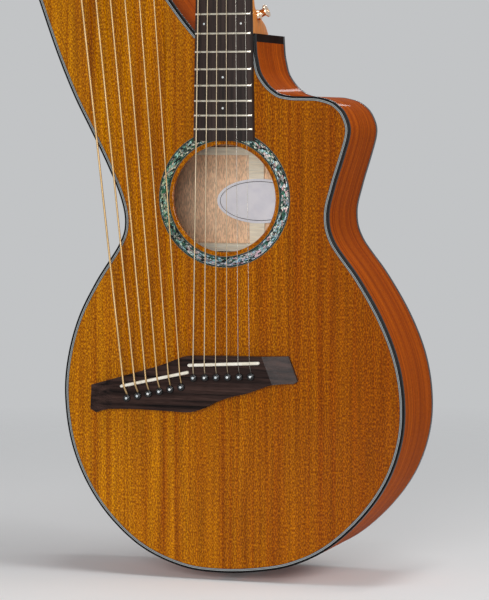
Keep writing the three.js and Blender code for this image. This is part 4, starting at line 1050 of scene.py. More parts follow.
def turned(profile, count=28, scale=(1, 1)):
    """Shape with the points (radius * cos, radius * sin, height) for each row of the profile."""
    profile = np.asarray(profile, float)
    angle = np.linspace(0, 2 * np.pi, count, endpoint=False)
    radius, height = profile[:, :1], profile[:, 1:]
    x, y = radius * np.cos(angle) * scale[0], radius * np.sin(angle) * scale[1]
    grid = np.stack([x, y, np.broadcast_to(height, x.shape)], -1)
    return grid.reshape(-1, 3), grid_faces(len(profile), count, False, True)


dot_spots = [(0, number) for number in (3, 5, 7, 9, 15, 17)] + [(-19.2, 12), (18.4, 12)]
dot = turned([(0, -0.06), (0.9, -0.06), (1.05, 0.0), (1.05, 0.6)], 20)
dots = [
    upright(dot, (x, board_top(x), (fret_place(number - 1) + fret_place(number)) / 2))
    for x, number in dot_spots
]
piece("fret_dots", stacked(dots), board_pearl, "pearl")
print("dots", len(dots))

# %% [markdown]
# ## Bridge
# The bridge is one long block of dark wood, cut on the skew because the bass strings are longer.
# Its lower edge is a flowing curve, and each end falls away in a flat wing. It could be sculpted,
# but a maker saws the plan and planes the wings, and so do the next cells: the plan is a plate, two
# planes cut it, and a small bevel softens all edges.

# %% Bridge block
bridge_length, bridge_width, bridge_height, wing_height = 217.0, 60.0, 8.5, 3.2
bridge_top = -(bridge_height + 0.3)
lower_edge = [
    (-0.617, -0.955), (-0.576, -0.905), (-0.528, -0.882), (-0.399, -0.872), (-0.254, -0.888),
    (-0.19, -0.897), (-0.143, -0.885), (-0.079, -0.807), (-0.024, -0.705), (0.039, -0.625),
    (0.11, -0.562), (0.172, -0.482), (0.227, -0.413), (0.29, -0.388), (0.33, -0.385),
]
upper_edge = [(0.347, -0.345), (0.304, 0.06), (0.18, 0.047), (0.016, 0.045), (-0.15, 0.032)]
skew_edge = [(-0.186, 0.017), (-0.302, -0.145), (-0.523, -0.378), (-0.643, -0.5), (-0.648, -0.9)]


def on_bridge(shares):
    """Places on the soundboard from shares of the bridge's length and width."""
    shares = np.asarray(shares, float)
    x, z = bridge_length * shares[:, 0], -scale_length + bridge_width * shares[:, 1]
    return np.column_stack([x, z])


edge = [through(on_bridge(lower_edge), 90), on_bridge(upper_edge), on_bridge(skew_edge)]
solid = plate([ring_wall(np.concatenate(edge), [(0, bridge_top), (0, -glue_line)])])
block = piece("bridge_block", upright(solid), bridge_wood, "bridge_wood", node="bridge", bevel=0.5)
print("bridge block", made_triangles["bridge_block"], "triangles before its wings are cut")

# %% Bridge wings
wings = {
    "bass": ((-113.5, -654.7), (-115.4, -683.7), -139.0),
    "treble": ((40.0, -629.2), (50.1, -654.4), 78.0),
}
work = bmesh.new()
work.from_mesh(block.data)
for (x0, z0), (x1, z1), tip in wings.values():
    start, end = Vector((x0, bridge_top, z0)), Vector((x1, bridge_top, z1))
    toe = Vector((tip, -wing_height, (z0 + z1) / 2))
    normal = (end - start).cross(toe - start).normalized()
    if normal.y > 0:
        normal.negate()
    everything = work.verts[:] + work.edges[:] + work.faces[:]
    cut = bmesh.ops.bisect_plane(
        work, geom=everything, plane_co=start * MM, plane_no=normal, dist=1e-6, clear_outer=True,
    )
    rim = [item for item in cut["geom_cut"] if isinstance(item, bmesh.types.BMEdge)]
    bmesh.ops.contextual_create(work, geom=rim)
bmesh.ops.recalc_face_normals(work, faces=work.faces)
work.to_mesh(block.data)
work.free()
block.data.set_sharp_from_angle(angle=math.radians(6))
print("bridge faces", len(block.data.polygons))

# %% [markdown]
# ## Saddles
# A saddle is a slip of bone in a slot of the bridge, and the strings bend over its crown. There are
# two, set on the skew, so that thick strings get a little more length. A rounded box would do from
# afar. Carrying a half-round section between two places also rounds the ends.

# %% Saddles
saddle_half, saddle_top, saddle_foot = 1.55, bridge_top - 2.7, bridge_top + 3
saddle_ends = {
    "main": [(-0.163, -0.123), (0.177, -0.057)],
    "bass": [(-0.489, -0.502), (-0.158, -0.235)],
}


def crowned_bar(start, end, half, foot, top, count=41):
    """Bar with a half-round crown, slimmed to its ends: half * sqrt(1 - (1 - reach / half)^2).

    The reach is the distance to the nearer end, and slimming stops half a width from it.
    """
    length = np.linalg.norm(end - start)
    along = (end - start) / length
    side = np.array([-along[1], along[0]])
    share = (1 - np.cos(np.linspace(0, np.pi, count))) / 2
    reach = np.clip(np.minimum(share, 1 - share) * length / half, 0, 1)
    slim = np.sqrt(1 - (1 - reach) ** 2) * 0.98 + 0.02
    turn = np.linspace(0, np.pi, 13)
    rows = []
    for s, k in zip(share, slim):
        out = half * k * np.concatenate([[1], np.cos(turn), [-1]])
        crest = top + half * 0.8 * (1 - np.sin(turn) * (0.4 + 0.6 * k))
        spot = start + (end - start) * s
        up = np.concatenate([[foot], crest, [foot]])
        rows.append(np.column_stack([spot[0] + side[0] * out, up, spot[1] + side[1] * out]))
    return np.stack(rows)


for row, ends in saddle_ends.items():
    grid = crowned_bar(*on_bridge(ends), saddle_half, saddle_foot, saddle_top)
    swept(f"{row}_saddle_bone", grid, bone, "bone", node=f"{row}_saddle")
print("saddles", len(saddle_ends))

# %% [markdown]
# ## Nuts
# The nut is the other end of the sounding string. It has a crest near its front and falls away
# towards the head, so that the string leaves it at one clear line. Its section is a smooth curve,
# carried across the neck and lowered at both ends, where a maker rounds it off.

# %% Nuts
bass_nut_x, bass_nut_z = -142.6, 92.0
nut_rise, nut_thickness, nut_samples = {"main": 8.1, "bass": 8.2}, 5.0, 40
string_spread = {"main": 39.8, "bass": 91.5}


def nut(name, x, z, half, rise):
    """Makes a nut: its profile at nine stations, lowered at the outer four."""
    profile = through([
        (0.0, -0.1), (0.0, 0.6 - rise), (0.35, -rise), (1.5, -rise), (3.2, 1.0 - rise),
        (4.7, 2.2 - rise), (nut_thickness, 2.8 - rise), (nut_thickness, -0.1),
    ], nut_samples)
    middle = np.linspace(0.8 - half, half - 0.8, 5)
    stations = np.concatenate([[-half, 0.4 - half], middle, [half - 0.4, half]])
    lowered = [0.55, 0.15, 0, 0, 0, 0, 0, 0.15, 0.55]
    grid = np.stack([
        np.column_stack([
            np.full(nut_samples, x + station),
            np.minimum(profile[:, 1] + drop * (profile[:, 1] < -1), -0.1),
            z + profile[:, 0],
        ])
        for station, drop in zip(stations, lowered)
    ])
    swept(name + "_bone", grid, bone, "bone", node=name)


nut("main_nut", 0.0, 0.0, nut_width / 2, nut_rise["main"])
nut("bass_nut", bass_nut_x, bass_nut_z, string_spread["bass"] / 2 + 5, nut_rise["bass"])
print("nuts 2, crests", nut_rise, "mm above the top")

# %% [markdown]
# ## Bridge pins
# Each string's ball end is held in its hole by a tapered black pin. A pale dot on each head is a
# painted highlight. Only the head shows, so that alone is turned, with its short shank, and one
# shape is repeated twelve times.

# %% Bridge pins
pin_ends = {
    "main": [(-0.137, -0.328), (0.135, -0.28)],
    "bass": [(-0.458, -0.693), (-0.196, -0.485)],
}
head_curve = [(1.2, -3.0), (2.5, -2.85), (3.5, -2.0), (3.9, -1.0), (3.6, -0.2), (2.8, 0.2)]
pin = turned(np.concatenate([through(head_curve, 16), [(2.6, 2.0)]]), 24)
# painted highlight: a pale disc on the top of each pin's head
pin_highlight_dot = turned([(0, -3.12), (0.6, -3.1), (1.0, -3.04), (1.2, -2.98), (1.2, -2.2)], 18)
pin_places = {}
for row, ends in pin_ends.items():
    start, end = on_bridge(ends)
    pin_places[row] = [start + (end - start) * i / 5 for i in range(6)]
spots = [(x, bridge_top, z) for places in pin_places.values() for x, z in places]
pins, pin_highlights = [upright(pin, spot) for spot in spots], [upright(pin_highlight_dot, spot) for spot in spots]
piece("bridge_pins", stacked(pins), pin_black, "pin_plastic")
piece("bridge_pin_highlight_dots", stacked(pin_highlights), pin_highlight_paint, "pearl")
print("pins", len(pins))

# %% [markdown]
# ## Neck and heel
# The neck is a half-round shaft that swells into the heel where it meets the body. Lofting between
# drawn sections would need many of them. One section does here, a rounded box whose depth, width
# and roundness all follow one number, and a smooth curve takes that number from 0 on the shaft to 1
# on the heel.

# %% Neck shaft and heel
heel_depth, neck_thickness, heel_units = 91.0, 14.5, 60
heel_rise = [
    (0.8, 0.0), (0.86, 0.02), (0.89, 0.05), (0.911, 0.1), (0.9225, 0.18), (0.935, 0.34),
    (0.949, 0.565), (0.965, 0.8), (0.98, 0.92), (0.995, 1.0),
]


def neck_section(z, rise, count=41):
    """Section at a height z: x = half * cos(a)^p * (1 - 0.16 rise sin(a)^p), y = depth * sin(a)^p.

    The power p falls from 0.8 on the shaft to 0.6 on the heel, which makes the heel boxier.
    """
    angle = np.linspace(0, np.pi, count)
    power = 0.8 - 0.2 * rise
    down = np.sin(angle) ** power
    side = np.sign(np.cos(angle)) * np.abs(np.cos(angle)) ** power
    shaft_depth = neck_thickness * (1 + 0.25 * z / joint_z)
    depth = shaft_depth + (heel_depth - shaft_depth) * rise
    x = board_half(z) * side * (1 - 0.16 * rise * down)
    return np.column_stack([x, depth * down, np.full(count, z)])


shaft = [(share, 0.0) for share in np.linspace(0.017, 0.8, 50)]
heel_curve = evenly(through([(share * heel_units, rise) for share, rise in heel_rise], 400), 70)[1:]
heel = [(share / heel_units, rise) for share, rise in heel_curve]
rows = [neck_section(joint_z * share, rise) for share, rise in shaft + heel]
neck_grid = np.stack([*rows, neck_section(joint_z - 3, 1.0)])
swept("neck_shaft", neck_grid, neck_wood, "neck_wood", node="neck", sharp=50)
block_half, block_foot, block_head = 28.4, joint_z - 52, joint_z - 3
block_front, block_back, block_edge = 3.2, 94.0, 0.5
block_line = np.array([
    (-block_half, block_foot), (block_half, block_foot), (block_half, block_head),
    (-block_half, block_head),
])
neck_block = plate([ring_wall(block_line, [
    (block_edge, block_front), (0, block_front + block_edge), (0, block_back - block_edge),
    (block_edge, block_back),
])])
piece("neck_block", upright(neck_block), neck_wood, "neck_wood")
print("heel", round(float(neck_grid[..., 1].max()), 1), "mm deep")

# %% [markdown]
# ## Heads
# The main head leans back, so that the strings press on the nut. The bass head stands on the arm's
# end and narrows, and its tuners follow its flanks. Both could be placed with an object's rotation,
# but finished pieces stay at the origin, so each head has a matrix that moves its points.

# %% Head frames
head_tilt, bass_slant = math.radians(13), math.radians(14)
tuner_gap, first_tuner = 36.0, 44.0
middle_tuner = first_tuner + tuner_gap
lean_back = np.eye(4)
lean_back[1:3, 1:3] = [
    [math.cos(head_tilt), math.sin(head_tilt)], [-math.sin(head_tilt), math.cos(head_tilt)],
]
on_arm = np.eye(4)
on_arm[:3, 3] = [bass_nut_x, 6.3, arm_tip - 12.0]
head_matrix = {"main": lean_back, "bass": on_arm}
head_depth = {"main": 14.0, "bass": 15.0}
column_half = {"main": 22.5, "bass": 35.4}
column_slant = {"main": 0.0, "bass": bass_slant}
print("the main head leans back by", round(math.degrees(head_tilt)), "degrees")

# %% Tuner columns


def moved(points, matrix):
    """Points moved by a four by four matrix."""
    return np.asarray(points, float).reshape(-1, 3) @ matrix[:3, :3].T + matrix[:3, 3]


def placed(shape, matrix, shift=(0, 0, 0)):
    """Shape shifted first and then moved by a matrix."""
    points, faces = shape
    return moved(points + np.asarray(shift, float), matrix), faces


def column(name, side):
    """Matrix of a tuner column (x outward, y across, z to the back of the head) and its posts.

    Post k of -1, 0 and 1 lies k gaps up a line that leans inwards by the slant.
    """
    slant, half = column_slant[name], column_half[name]
    outward = np.array([side * math.cos(slant), 0, math.sin(slant)])
    back_way = np.array([0.0, 1.0, 0.0])
    matrix = np.eye(4)
    matrix[:3, :3] = np.stack([outward, np.cross(back_way, outward), back_way], 1)
    matrix[:3, 3] = side * half, 0, middle_tuner
    steps = [k * tuner_gap for k in (-1, 0, 1)]
    places = [
        (side * half - side * step * math.sin(slant), middle_tuner + step * math.cos(slant))
        for step in steps
    ]
    return matrix, places


print("posts of the main head's treble side:", column("main", 1)[1])

# %% Head outlines
lean = math.tan(bass_slant)
flank = column_half["bass"] + 15 / math.cos(bass_slant)
bass_length, bass_shoulder, crown_share = 128.0, 27.0, 0.9
head_sizes = {
    "main": dict(foot=23.3, start=0.0, shoulder=22.0, low=37.5, high=37.5, length=172.0),
    "bass": dict(
        foot=45.0, start=9.0, shoulder=bass_shoulder, low=flank + (middle_tuner - bass_shoulder) * lean,
        high=flank - (bass_length * crown_share - middle_tuner) * lean, length=bass_length,
    ),
}


def head_line(foot, start, shoulder, low, high, length):
    """Outline of a head from its foot up one flank, over the crown and down the other."""
    crown_start = length * crown_share
    right = [
        (foot, start), (foot + (low - foot) * 0.12, start + (shoulder - start) * 0.55),
        (low, shoulder), (low + (high - low) * 0.5, (shoulder + crown_start) / 2),
        (high, crown_start), (high * 0.94, length * 0.96), (high * 0.5, length * 0.985),
        (0.0, length),
    ]
    left = [(-x, z) for x, z in right[-2::-1]]
    soft = softened(np.array(right + left), 3)
    return soft[soft[:, 1] >= start - 1e-6]


print("outline of the main head:", len(head_line(**head_sizes["main"])), "points")

# %% Heads
post_hole, veneer = 3.5, 1.2


def drilled(line, profile, spots):
    """Plate with a shaped edge and a straight hole at each spot."""
    front, back = profile[0][1], profile[-1][1]
    holes = [
        round_wall(x, z, [(post_hole, front), (post_hole, back)], 24)[:, ::-1] for x, z in spots
    ]
    return plate([ring_wall(line, profile), *holes])


bushing = turned([(3.3, 1.0), (3.3, -0.5), (3.9, -0.9), (4.8, -0.5), (5.1, 0.05)], 28)
for name, node in {"main": None, "bass": "bass_headstock"}.items():
    line = evenly(head_line(**head_sizes[name]), 260)
    thickness, matrix = head_depth[name], head_matrix[name]
    spots = [spot for side in (1, -1) for spot in column(name, side)[1]]
    back_edge = [(0, thickness - 1.2), (0.35, thickness - 0.4), (1.2, thickness)]
    wood = upright(drilled(line, [(0, veneer), *back_edge], spots))
    piece(name + "_head_board", placed(wood, matrix), neck_wood, "neck_wood", node=node)
    face = upright(drilled(line, [(0.9, 0), (0.25, 0.2), (0, 0.7), (0, veneer)], spots))
    piece(name + "_head_veneer", placed(face, matrix), veneer_wood, "neck_wood")
    rims = stacked([upright(bushing, (x, 0, z)) for x, z in spots])
    piece(name + "_bushings", placed(rims, matrix), gold, "gold_metal")
print("heads", len(head_sizes))

# %% [markdown]
# ## Open tuning machines
# A worm on each knob's shaft turns a fourteen-tooth wheel on the string post, so one turn of the
# knob moves the post by a fourteenth of a turn, and the string can't turn it back. Post and wheel
# move as one piece, knob and worm as another, and the plate with its ears stays on the head. Wheel
# and worm share one tooth size, the module, so that they mesh wherever it is changed.

# %% Machine sizes
teeth, module, worm_root, worm_radius = 14, 0.75, 0.9, 1.9
gear_radius = teeth * module / 2
gear_outer, gear_root = gear_radius + 0.85 * module, gear_radius - 1.19 * module
worm_tip = worm_radius + 0.85 * module
centre_distance = gear_radius + worm_radius + 0.12 * module
worm_lead = math.pi * module
gear_thickness, worm_length, ear_thickness, plate_thickness, seat_gap = 2.4, 8.4, 1.6, 1.2, 0.3
ear_place = worm_length / 2 + ear_thickness / 2 + seat_gap
knob_start, knob_length, knob_width, knob_thickness = 19.2, 14.0, 17.0, 8.0


def depths(thickness):
    """Depths of plate front, plate back and worm axis below the front of a head."""
    front = thickness + seat_gap
    back = front + plate_thickness
    return front, back, back + seat_gap + worm_tip


print("wheel", gear_radius, "mm, centres", round(centre_distance, 2), "mm apart")

# %% [markdown]
# ## Post and wheel
# The post is turned with a waist, where the string lies, and a foot that the wheel is screwed to.
# The wheel is a plate whose outline goes over a crest, down a flank and through a root for each
# tooth. An array of one tooth would leave seams, and the outline needs only its angles.

# %% Post and wheel


def gear_line():
    """Outline of the wheel: six points for each tooth at shares of its pitch, one tooth on +Y."""
    flank_radius = gear_radius - 0.3
    shape = np.array([
        (-0.36, gear_root), (-0.24, flank_radius), (-0.1, gear_outer),
        (0.1, gear_outer), (0.24, flank_radius), (0.36, gear_root),
    ])
    angle = np.pi / 2 + 2 * np.pi * (np.arange(teeth)[:, None] + shape[:, 0]) / teeth
    return np.stack([shape[:, 1] * np.cos(angle), shape[:, 1] * np.sin(angle)], -1).reshape(-1, 2)


def post_parts(thickness):
    """Post, wheel and end screw on the local height axis."""
    _, back, axis = depths(thickness)
    low, high = axis - gear_thickness / 2, axis + gear_thickness / 2
    post = turned([
        (0, -13), (2.2, -13), (2.65, -12.8), (2.8, -12.3), (2.8, -9.5), (2.55, -8.8), (2.5, -6.2),
        (2.75, -5.2), (2.8, -1.4), (3.1, -0.3), (3.2, 0.2), (3.2, back + 0.3), (4.3, back + 0.3),
        (4.4, back + 0.5), (4.4, low + 0.6),
    ])
    wheel = plate([ring_wall(gear_line(), [(0.2, low), (0, low + 0.2), (0, high - 0.2), (0.2, high)])])
    screw = turned([
        (2.6, high - 0.2), (2.6, high + 0.35), (2.3, high + 0.7), (1.2, high + 0.95), (0, high + 1.0),
    ], 24)
    return stacked([post, wheel, screw])


print("points on the wheel's edge", len(gear_line()))

# %% [markdown]
# ## Knob and worm
# The worm is a ridge wound round the knob's shaft. A screw modifier could wind it, but would end it
# with two flat cuts. Here the ridge's section is carried along a helix and fades at both ends, as a
# cut thread does. The button is turned and then flattened, which gives its oval shape.

# %% Worm


def worm_thread(count=49):
    """Ridge on a right-handed helix about X: x = lead * turn, with two turns and faded ends."""
    share = np.linspace(-1, 1, count)
    angle = 2 * np.pi * share
    width = worm_lead * 0.26
    fade = np.clip((1 - np.abs(share)) * 6, 0.05, 1)
    shape = [
        (-width, worm_root), (-width * 0.3, worm_tip * 0.96), (0, worm_tip),
        (width * 0.3, worm_tip * 0.96), (width, worm_root),
    ]
    columns = []
    for shift, radius in shape:
        reach = worm_root + (radius - worm_root) * fade
        x = worm_lead * share + shift
        columns.append(np.stack([x, reach * np.cos(angle), reach * np.sin(angle)], 1))
    return np.stack(columns, 1).reshape(-1, 3), capped_faces(count, len(shape))


print("worm moves", round(worm_lead, 3), "mm of the wheel's edge with each turn")

# %% Knob


def lying(shape, start=0.0):
    """Turned shape laid along X, beginning at a place on it."""
    points, faces = shape
    return points[:, [2, 0, 1]] + [start, 0, 0], faces


def knob_parts():
    """Worm, shaft with its collar, and button along X."""
    half, start = knob_length / 2, -(ear_place + ear_thickness)
    shaft = turned([
        (0, start), (0.9, start), (1.2, start + 0.3), (1.2, ear_place + 1.2), (1.9, ear_place + 1.5),
        (1.9, knob_start - 3.4), (1.6, knob_start - 2.8), (2.2, knob_start - 2.0),
        (3.0, knob_start - 0.6), (3.0, knob_start + 0.8), (2.2, knob_start + half),
    ], 20)
    shares = [
        (0.0, -1), (0.2, -1), (0.34, -0.93), (0.46, -0.55), (0.5, 0), (0.475, 0.45), (0.38, 0.82),
        (0.2, 0.97), (0.0, 1),
    ]
    profile = through([(knob_width * radius, half * height) for radius, height in shares], 36)
    profile[:, 0] = np.maximum(profile[:, 0], 0)
    button = turned(profile, 36, (1, knob_thickness / knob_width))
    return stacked([lying(shaft), worm_thread(), lying(button, knob_start + half)])


knob = knob_parts()
print("knob", len(knob[1]), "faces")

# %% [markdown]
# ## Plate with ears
# Three machines share one stamped plate. It has a hole for each post, a pair of ears that hold each
# worm's shaft, and four small screws. All of these are plates and turned shapes, so the helpers
# above make them, and one loop puts them along the plate.

# %% Machine plate


def plate_parts(thickness, worm_side):
    """Base plate with rounded corners, a pair of ears for each worm, and four screws."""
    front, back, axis = depths(thickness)
    half, corner = 8.0, 4.0
    reach = tuner_gap + half + centre_distance
    inner_x, inner_y = half - corner, reach - corner
    line = softened(np.array([
        (-half, -inner_y), (-inner_x, -reach), (inner_x, -reach), (half, -inner_y),
        (half, inner_y), (inner_x, reach), (-inner_x, reach), (-half, inner_y),
    ]), 2)
    steps = [k * tuner_gap for k in (-1, 0, 1)]
    holes = [
        round_wall(0, step, [(post_hole, front), (post_hole, back)], 24)[:, ::-1] for step in steps
    ]
    parts = [plate([ring_wall(line, [(0, front), (0, back - 0.35), (0.35, back)]), *holes])]
    ear = softened(np.array([
        (-3.1, back - 0.3), (3.1, back - 0.3), (3.1, axis + 1.2), (1.6, axis + worm_tip),
        (-1.6, axis + worm_tip), (-3.1, axis + 1.2),
    ]), 1)
    ear_points, ear_faces = plate([ring_wall(ear, [(0.15, -0.8), (0, -0.6), (0, 0.6), (0.15, 0.8)])])
    for step in steps:
        for place in (-ear_place, ear_place):
            spot = [place, step + worm_side * centre_distance, 0]
            parts.append((ear_points[:, [2, 0, 1]] + spot, ear_faces))
    screw, screw_faces = turned([
        (1.9, back - 0.1), (1.9, back + 0.3), (1.5, back + 0.7), (0.7, back + 0.92), (0, back + 0.95),
    ], 20)
    for y in (-inner_y, -tuner_gap / 2, tuner_gap / 2, inner_y):
        parts.append((screw + [0, y, 0], screw_faces))
    return stacked(parts)


print("plate", len(plate_parts(head_depth["main"], 1)[1]), "faces")

# %% Machines
for name, thickness in head_depth.items():
    axis = depths(thickness)[2]
    for side, side_name in ((1, "treble"), (-1, "bass")):
        matrix = head_matrix[name] @ column(name, side)[0]
        label = f"{name}_{side_name}_plate"
        shape = placed(plate_parts(thickness, side), matrix)
        piece(label + "_gold", shape, gold, "gold_metal", node=label, sharp=30)
        turned_knob = (knob[0] * [1, side, side], knob[1])
        for order in range(3):
            number = 6 - order if side < 0 else order + 1
            down = -side * (order - 1) * tuner_gap
            post = placed(post_parts(thickness), matrix, (0, down, 0))
            beside = placed(turned_knob, matrix, (0, down + side * centre_distance, axis))
            for kind, shape, sharp in (("post", post, 30), ("knob", beside, 40)):
                node = f"{name}_{kind}_{number}"
                more = dict(node=node, body=node, sharp=sharp)
                piece(node + "_gold", shape, gold, "gold_metal", **more)
print("knobs and their posts", sum("_knob_" in name for name in made_triangles))

# %% [markdown]
# ## String finishes
# The two thinnest strings are plain steel. The others have a core wound with fine bronze wire, and
# its turns break up the highlight. Modelling thousands of turns would be wasted at this size, so a
# wave along the string's own map bumps the surface instead.

# %% String finishes


def wound_finish(name, light, dark):
    """Metal wrap on a string: fine turns along the string's own length."""
    recipe = Recipe(name, Metallic=1.0)
    settings = {"wave_type": "BANDS", "bands_direction": "X"}
    values = {"Vector": recipe.run(), "Scale": 900.0, "Distortion": 0.0}
    wave = recipe.node("ShaderNodeTexWave", settings, values)
    drift = recipe.noise((30, 30, 30), 2, 0.5)
    colour = recipe.mix(drift, shade(*light), shade(*dark))
    rough = recipe.span(drift, 0.3, 0.7, 0.46, 0.56)
    bump = recipe.bump(wave, 0.25, 0.00005)
    return recipe.give(Base_Color=colour, Roughness=rough, Normal=bump)


bass_bronze = wound_finish("bronze wrap", (196, 166, 122), (174, 146, 102))
main_bronze = wound_finish("pale bronze wrap", (190, 174, 148), (170, 154, 128))
print("materials so far", len(bpy.data.materials))

# %% [markdown]
# ## String routes
# Each string runs from its pin over the saddle and the nut, and twice round its post. A simulated
# rope could find that line, but a taut string is simple: straight runs need few points, the bend at
# the saddle is a smooth curve, and the turns are a helix that starts where the string touches the
# post.

# %% Turns round a post
diameters = {
    "main": [1.35, 1.07, 0.81, 0.61, 0.46, 0.36],
    "bass": [2.0, 1.85, 1.7, 1.55, 1.4, 1.3],
}
saddle_rows = {"main": (-0.2, 57.8), "bass": (-72.3, 58.6)}
nut_crest = 1.25
nut_places = {"main": (0.0, nut_crest), "bass": (bass_nut_x, bass_nut_z + nut_crest)}
post_radius, coil_gap, coil_start, coil_spacing = 2.8, 0.7, 2.8, 0.6


def winding(post, side, start, diameter, count=72):
    """Two turns round a post: (radius * cos, -depth, radius * sin), rising evenly to the front.

    They begin where a line from the start touches the circle: at the start's own angle, minus
    acos(radius / distance) on the string's side.
    """
    radius = post_radius + coil_gap + diameter / 2
    reach = np.array([start[0] - post[0], start[2] - post[1]])
    touch = math.atan2(reach[1], reach[0]) - side * math.acos(radius / np.linalg.norm(reach))
    share = np.linspace(0, 2, count)
    angle = touch - side * 2 * np.pi * share
    y = -(coil_start + diameter / 2) - (diameter + coil_spacing) * share
    loops = np.column_stack([post[0] + radius * np.cos(angle), y, post[1] + radius * np.sin(angle)])
    step = loops[-1] - loops[-2]
    end = loops[-1] + step / np.linalg.norm(step) * diameter
    return np.concatenate([loops, [end]])


print("points of two turns:", len(winding((0, 0), 1, (0, 0, -100), 1.0)))

# %% String routes


def string_route(name, i):
    """Points of one string; strings count from the bass side here."""
    rise = diameters[name][i] / 2
    share = i / 5 - 0.5
    middle, spread = saddle_rows[name]
    x = middle + spread * share
    (x0, z0), (x1, z1) = on_bridge(saddle_ends[name])
    over = np.array([x, saddle_top - rise, z0 + (z1 - z0) * (x - x0) / (x1 - x0)])
    nut_x, nut_z = nut_places[name]
    nut_y = -nut_rise[name] - rise - 0.1
    on_nut = np.array([nut_x + string_spread[name] * share, nut_y, nut_z])
    pin_x, pin_z = pin_places[name][i]
    hole = np.array([pin_x, bridge_top + 1.2, pin_z + 2.6])
    lip = np.array([pin_x, bridge_top - rise * 0.6, pin_z + 3.7 + rise])
    bend = through([hole, lip, over + (lip - over) * 0.12, over + (on_nut - over) * 0.004], 22)
    straight = over + (on_nut - over) * np.linspace(0.02, 0.98, 12)[:, None]
    side, order = (-1, i) if i < 3 else (1, 5 - i)
    post = column(name, side)[1][order]
    start = moved(on_nut, np.linalg.inv(head_matrix[name]))[0]
    loops = moved(winding(post, side, start, 2 * rise), head_matrix[name])
    return np.concatenate([bend, straight, [on_nut], loops])


route = string_route("main", 0)
print("lowest main string", len(route), "points")

# %% [markdown]
# ## Strings
# A string is a thin tube along its route. Blender's curve bevel makes tubes too, but its map can't
# be trusted to keep real lengths. Here every ring stands square to the route, and the map's first
# number is the length along the string, so that the wrap keeps its pitch.

# %% Strings
tube_sides = 12


def tube(points, diameter):
    """Round tube: centre + radius * (across * cos + other * sin), without twist along the route."""
    ahead = np.gradient(points, axis=0)
    ahead /= np.linalg.norm(ahead, axis=1, keepdims=True)
    first = np.cross(ahead[0], [1.0, 0.0, 0.0])
    across = [first / np.linalg.norm(first)]
    for way in ahead[1:]:
        squared = across[-1] - way * np.dot(across[-1], way)
        across.append(squared / np.linalg.norm(squared))
    across = np.array(across)
    other = np.cross(ahead, across)
    angle = np.linspace(0, 2 * np.pi, tube_sides, endpoint=False)[None, :, None]
    ring = across[:, None] * np.cos(angle) + other[:, None] * np.sin(angle)
    return points[:, None] + diameter / 2 * ring


string_lengths = {}
for name, sizes in diameters.items():
    for i, diameter in enumerate(sizes):
        number = 6 - i
        node = f"{name}_string_{number}"
        points = string_route(name, i)
        length = lengths(points)
        string_map = np.stack(np.broadcast_arrays(length[:, None], np.arange(tube_sides) * 0.3), -1)
        if name == "main" and number <= 2:
            finish, slot = steel_string, "plain_string"
        else:
            finish, slot = {"main": main_bronze, "bass": bass_bronze}[name], "wound_string"
        grid = tube(points, diameter)
        swept(node + "_wire", grid, finish, slot, node=node, uv=string_map, sharp=60)
        string_lengths[node] = round(float(length[-1]))
print("string lengths, mm:", string_lengths)

# %% [markdown]
# ## Strap button
# A plated button is screwed into the treble side of the heel, and the strap's hole slips over its
# head. Its waist is a smooth curve, so it is turned from one, about an axis that leans up the neck.

# %% Strap button
strap_foot, strap_tilt = np.array([28.43, 20.0, -297.0]), math.radians(25)
outward = np.array([math.cos(strap_tilt), 0.0, math.sin(strap_tilt)])
sideways = np.array([-math.sin(strap_tilt), 0.0, math.cos(strap_tilt)])
waist = [(5.3, 0.3), (4.0, 1.9), (3.7, 3.9), (4.1, 5.7), (6.1, 7.2), (6.7, 8.0)]
rim = [(6.7, 8.3), (6.3, 9.1), (5.2, 9.5), (2.9, 9.5)]
points, faces = turned(np.concatenate([
    [(0.0, -2.5), (5.3, -2.5), (5.4, 0.0)], through(waist, 26), through(rim, 12),
    [(2.5, 9.5), (2.2, 9.0), (0.0, 8.9)],
]), 40)
button = strap_foot + points @ np.stack([[0.0, 1.0, 0.0], sideways, outward])
piece(
    "heel_strap_button", (button, faces), button_metal, "gold_metal", node="strap_button", sharp=30,
)
print("button head", 2 * rim[0][0], "mm across")

# %% [markdown]
# ## End jack
# At the tail a threaded jack takes the place of a second button, and the amplifier's plug goes into
# its bore. It is a hollow barrel with a nut and a washer, so its profile runs down the bore and up
# the outside. The fine thread is only a few rings near the foot, which is all that shows.

# %% End jack
low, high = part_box("end_jack")
jack_place = np.array([7.0, 60.0, 0.0])
foot, head = low[2] / MM, high[2] / MM
bore, barrel_radius, groove_radius, nut_radius = 3.2, 6.0, 5.7, 8.6
nut_low, nut_high, washer_high = foot + 3.0, foot + 6.0, foot + 7.4
threads = [(barrel_radius if k % 2 else groove_radius, foot + 0.4 * k) for k in (1, 2, 3, 4, 5)]
barrel = turned([
    (bore, head), (bore, foot + 0.3), (3.5, foot), (5.6, foot), *threads,
    (barrel_radius, foot + 7.5), (barrel_radius, head), (bore, head),
], 40)
hexagon = oval((0, 0), (nut_radius, nut_radius), 6)
nut_walls = [
    ring_wall(hexagon, [(0.5, nut_low), (0, nut_low + 0.4), (0, nut_high)]),
    round_wall(0, 0, [(barrel_radius, nut_low), (barrel_radius, nut_high)], 40)[:, ::-1],
]
washer = turned([
    (barrel_radius, nut_high), (9.3, nut_high), (9.5, nut_high + 0.4), (9.5, washer_high),
    (barrel_radius, washer_high), (barrel_radius, nut_high),
], 40)
points, faces = stacked([barrel, plate(nut_walls), washer])
piece("tail_jack", (points + jack_place, faces), jack_metal, "jack_metal", node="end_jack", sharp=30)
print("jack foot", round(foot, 1))

# %% [markdown]
# ## Hidden woodwork
# Braces and blocks hold the thin plates in shape, and only a few of them show through the sound
# hole. They could be made again here, but the frame's own shapes are right as they are, so they only
# get their wood. The grain of the back braces runs across the box, and that of the others up it.
# The back braces take a paler copy of the brace spruce, as painted light from the sound hole.

